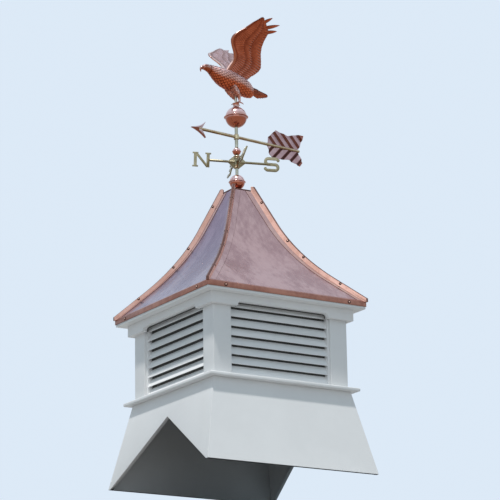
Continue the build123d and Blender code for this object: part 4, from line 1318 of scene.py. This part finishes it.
def arrow_fletching():
    """The folded vanes, the lower with broad dark stripes of painted shade on its folds and both with darker
    brown corners at the tail.
    """
    ahead = Vector((math.cos(VANE_YAW), math.sin(VANE_YAW), 0))
    across = -math.sin(FOLD_ANGLE) * ahead - math.cos(FOLD_ANGLE) * Vector((0, 0, 1))
    origin = LOWER_FOLD_U * ahead + Vector((0, 0, ARROW_Z - FOLD_H))
    fold_shade = shade_striped_finish("lower_fletching_painted_shade_copper", ARROW_COPPER, across, across.dot(origin), FOLD_PITCH,
                             LOWER_FOLD_SHADE_W, LOWER_FOLD_SHADE_TONE)
    vanes = plain_copy("arrow_fletching")
    ready(vanes, "folded_fletching", ARROW_COPPER, "vane", "arrow_copper", "arrow_fletching", angle=CRISP)
    vanes.data.materials.append(fold_shade)
    vanes.data.materials.append(CORNER_COPPER)
    for face in vanes.data.polygons:
        if face.center.dot(ahead) < TAIL_CORNER_U:
            face.material_index = 2
        elif face.center.z < ARROW_Z:
            face.material_index = 1


def hub_beads():
    """Turned beads at both ends of the compass hub."""
    low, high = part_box("compass_hub")
    beads = []
    for height, radius in BEADS:
        ring = arc(BEAD_REACH, height * MM, radius * MM, -90, 90, 8)
        foot = (HUB_R, ring[0][1])
        beads.append(spun([foot] + ring + [(HUB_R, ring[-1][1]), foot], steps=40))
    turned = joined("beads", beads)
    turned.matrix_world = (Matrix.Rotation(HUB_YAW, 4, "Z") @ Matrix.Translation((0, 0, (low.z + high.z) / 2))
                           @ Matrix.Rotation(HUB_LEAN[0], 4, "X") @ Matrix.Rotation(HUB_LEAN[1], 4, "Y"))
    ready(turned, "hub_beads", SHAFT_BRASS, "cupola", "yellow_brass", angle=ROUND)


# Balls

BALL_R = 55 * MM
BALL_FLANGE_R = 62 * MM
BALL_BORE = 8.75 * MM
SMALLER_BALLS = (("lower_ball", "lower_seamed_ball", 39 * MM, 43.5 * MM, 8 * MM),
                 ("small_ball", "small_seamed_ball", 21 * MM, 23 * MM, 4.75 * MM))
FLANGE_T = 3 * MM
TURN_IN = 1.5                           # degrees between a half's edge and the flange
HALF_STEPS = 20
FLANGE_STEPS = 6
COLLAR_SEAT_R = 17.5 * MM
COLLAR_SINK = 1 * MM
# The collar's profile: radius in millimetres, share of its height, and millimetres added to that
COLLAR = ((19.5, 0, 0), (18.2, 0, 1.5), (15.6, 0.3, 0), (15.0, 0.5, 0), (15.6, 0.7, 0), (17.3, 1, -2),
          (17.5, 1, -0.8), (16.5, 1, 0), (5, 1, 0), (5, 0, 0), (19.5, 0, 0))


def ball_profile(radius, flange_r, height, bore):
    """Two spun halves and the flange that they meet in, from the bore below to the bore above."""
    half_t = FLANGE_T / 2
    turn_in = math.degrees(math.asin(half_t / radius)) + TURN_IN
    open_angle = math.degrees(math.acos(bore / radius))
    profile = arc(0, height, radius, -open_angle, -turn_in, HALF_STEPS)
    profile += arc(flange_r - half_t, height, half_t, -90, 90, FLANGE_STEPS)
    profile += arc(0, height, radius, turn_in, open_angle, HALF_STEPS)
    return profile


def balls():
    """The three seamed balls of the mast, the largest with the waisted perch on it."""
    low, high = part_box("upper_ball")
    middle = low.z + BALL_R
    upper = spun(ball_profile(BALL_R, BALL_FLANGE_R, middle, BALL_BORE))
    ready(upper, "upper_seamed_ball", BALL_COPPER, "vane", "ball_copper", "upper_ball", angle=CRISP)
    foot = middle + math.sqrt(BALL_R ** 2 - COLLAR_SEAT_R ** 2) - COLLAR_SINK
    collar = [(radius * MM, foot + share * (high.z - foot) + more * MM) for radius, share, more in COLLAR]
    # The perch's paler copper is a painted highlight
    ready(spun(collar), "waisted_perch", PAINTED_HIGHLIGHT_COPPER, "vane", "ball_copper")
    for node, name, radius, flange_r, bore in SMALLER_BALLS:
        low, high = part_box(node)
        ball = spun(ball_profile(radius, flange_r, (low.z + high.z) / 2, bore))
        ready(ball, name, BALL_COPPER, "cupola", "ball_copper", node, angle=CRISP)


bpy.context.scene.view_settings.view_transform = "Standard"
camera()
world()
floor()
lamps()
dress_nodes()
# The screws find their places on the model's own solids, so they come before the pieces that hide these
apron_screws()
roof_screws()
insect_screens()
arch_shade_lines()
eased_pieces()
hip_caps()
roof_strip()
eagle()
arrow_fletching()
hub_beads()
balls()
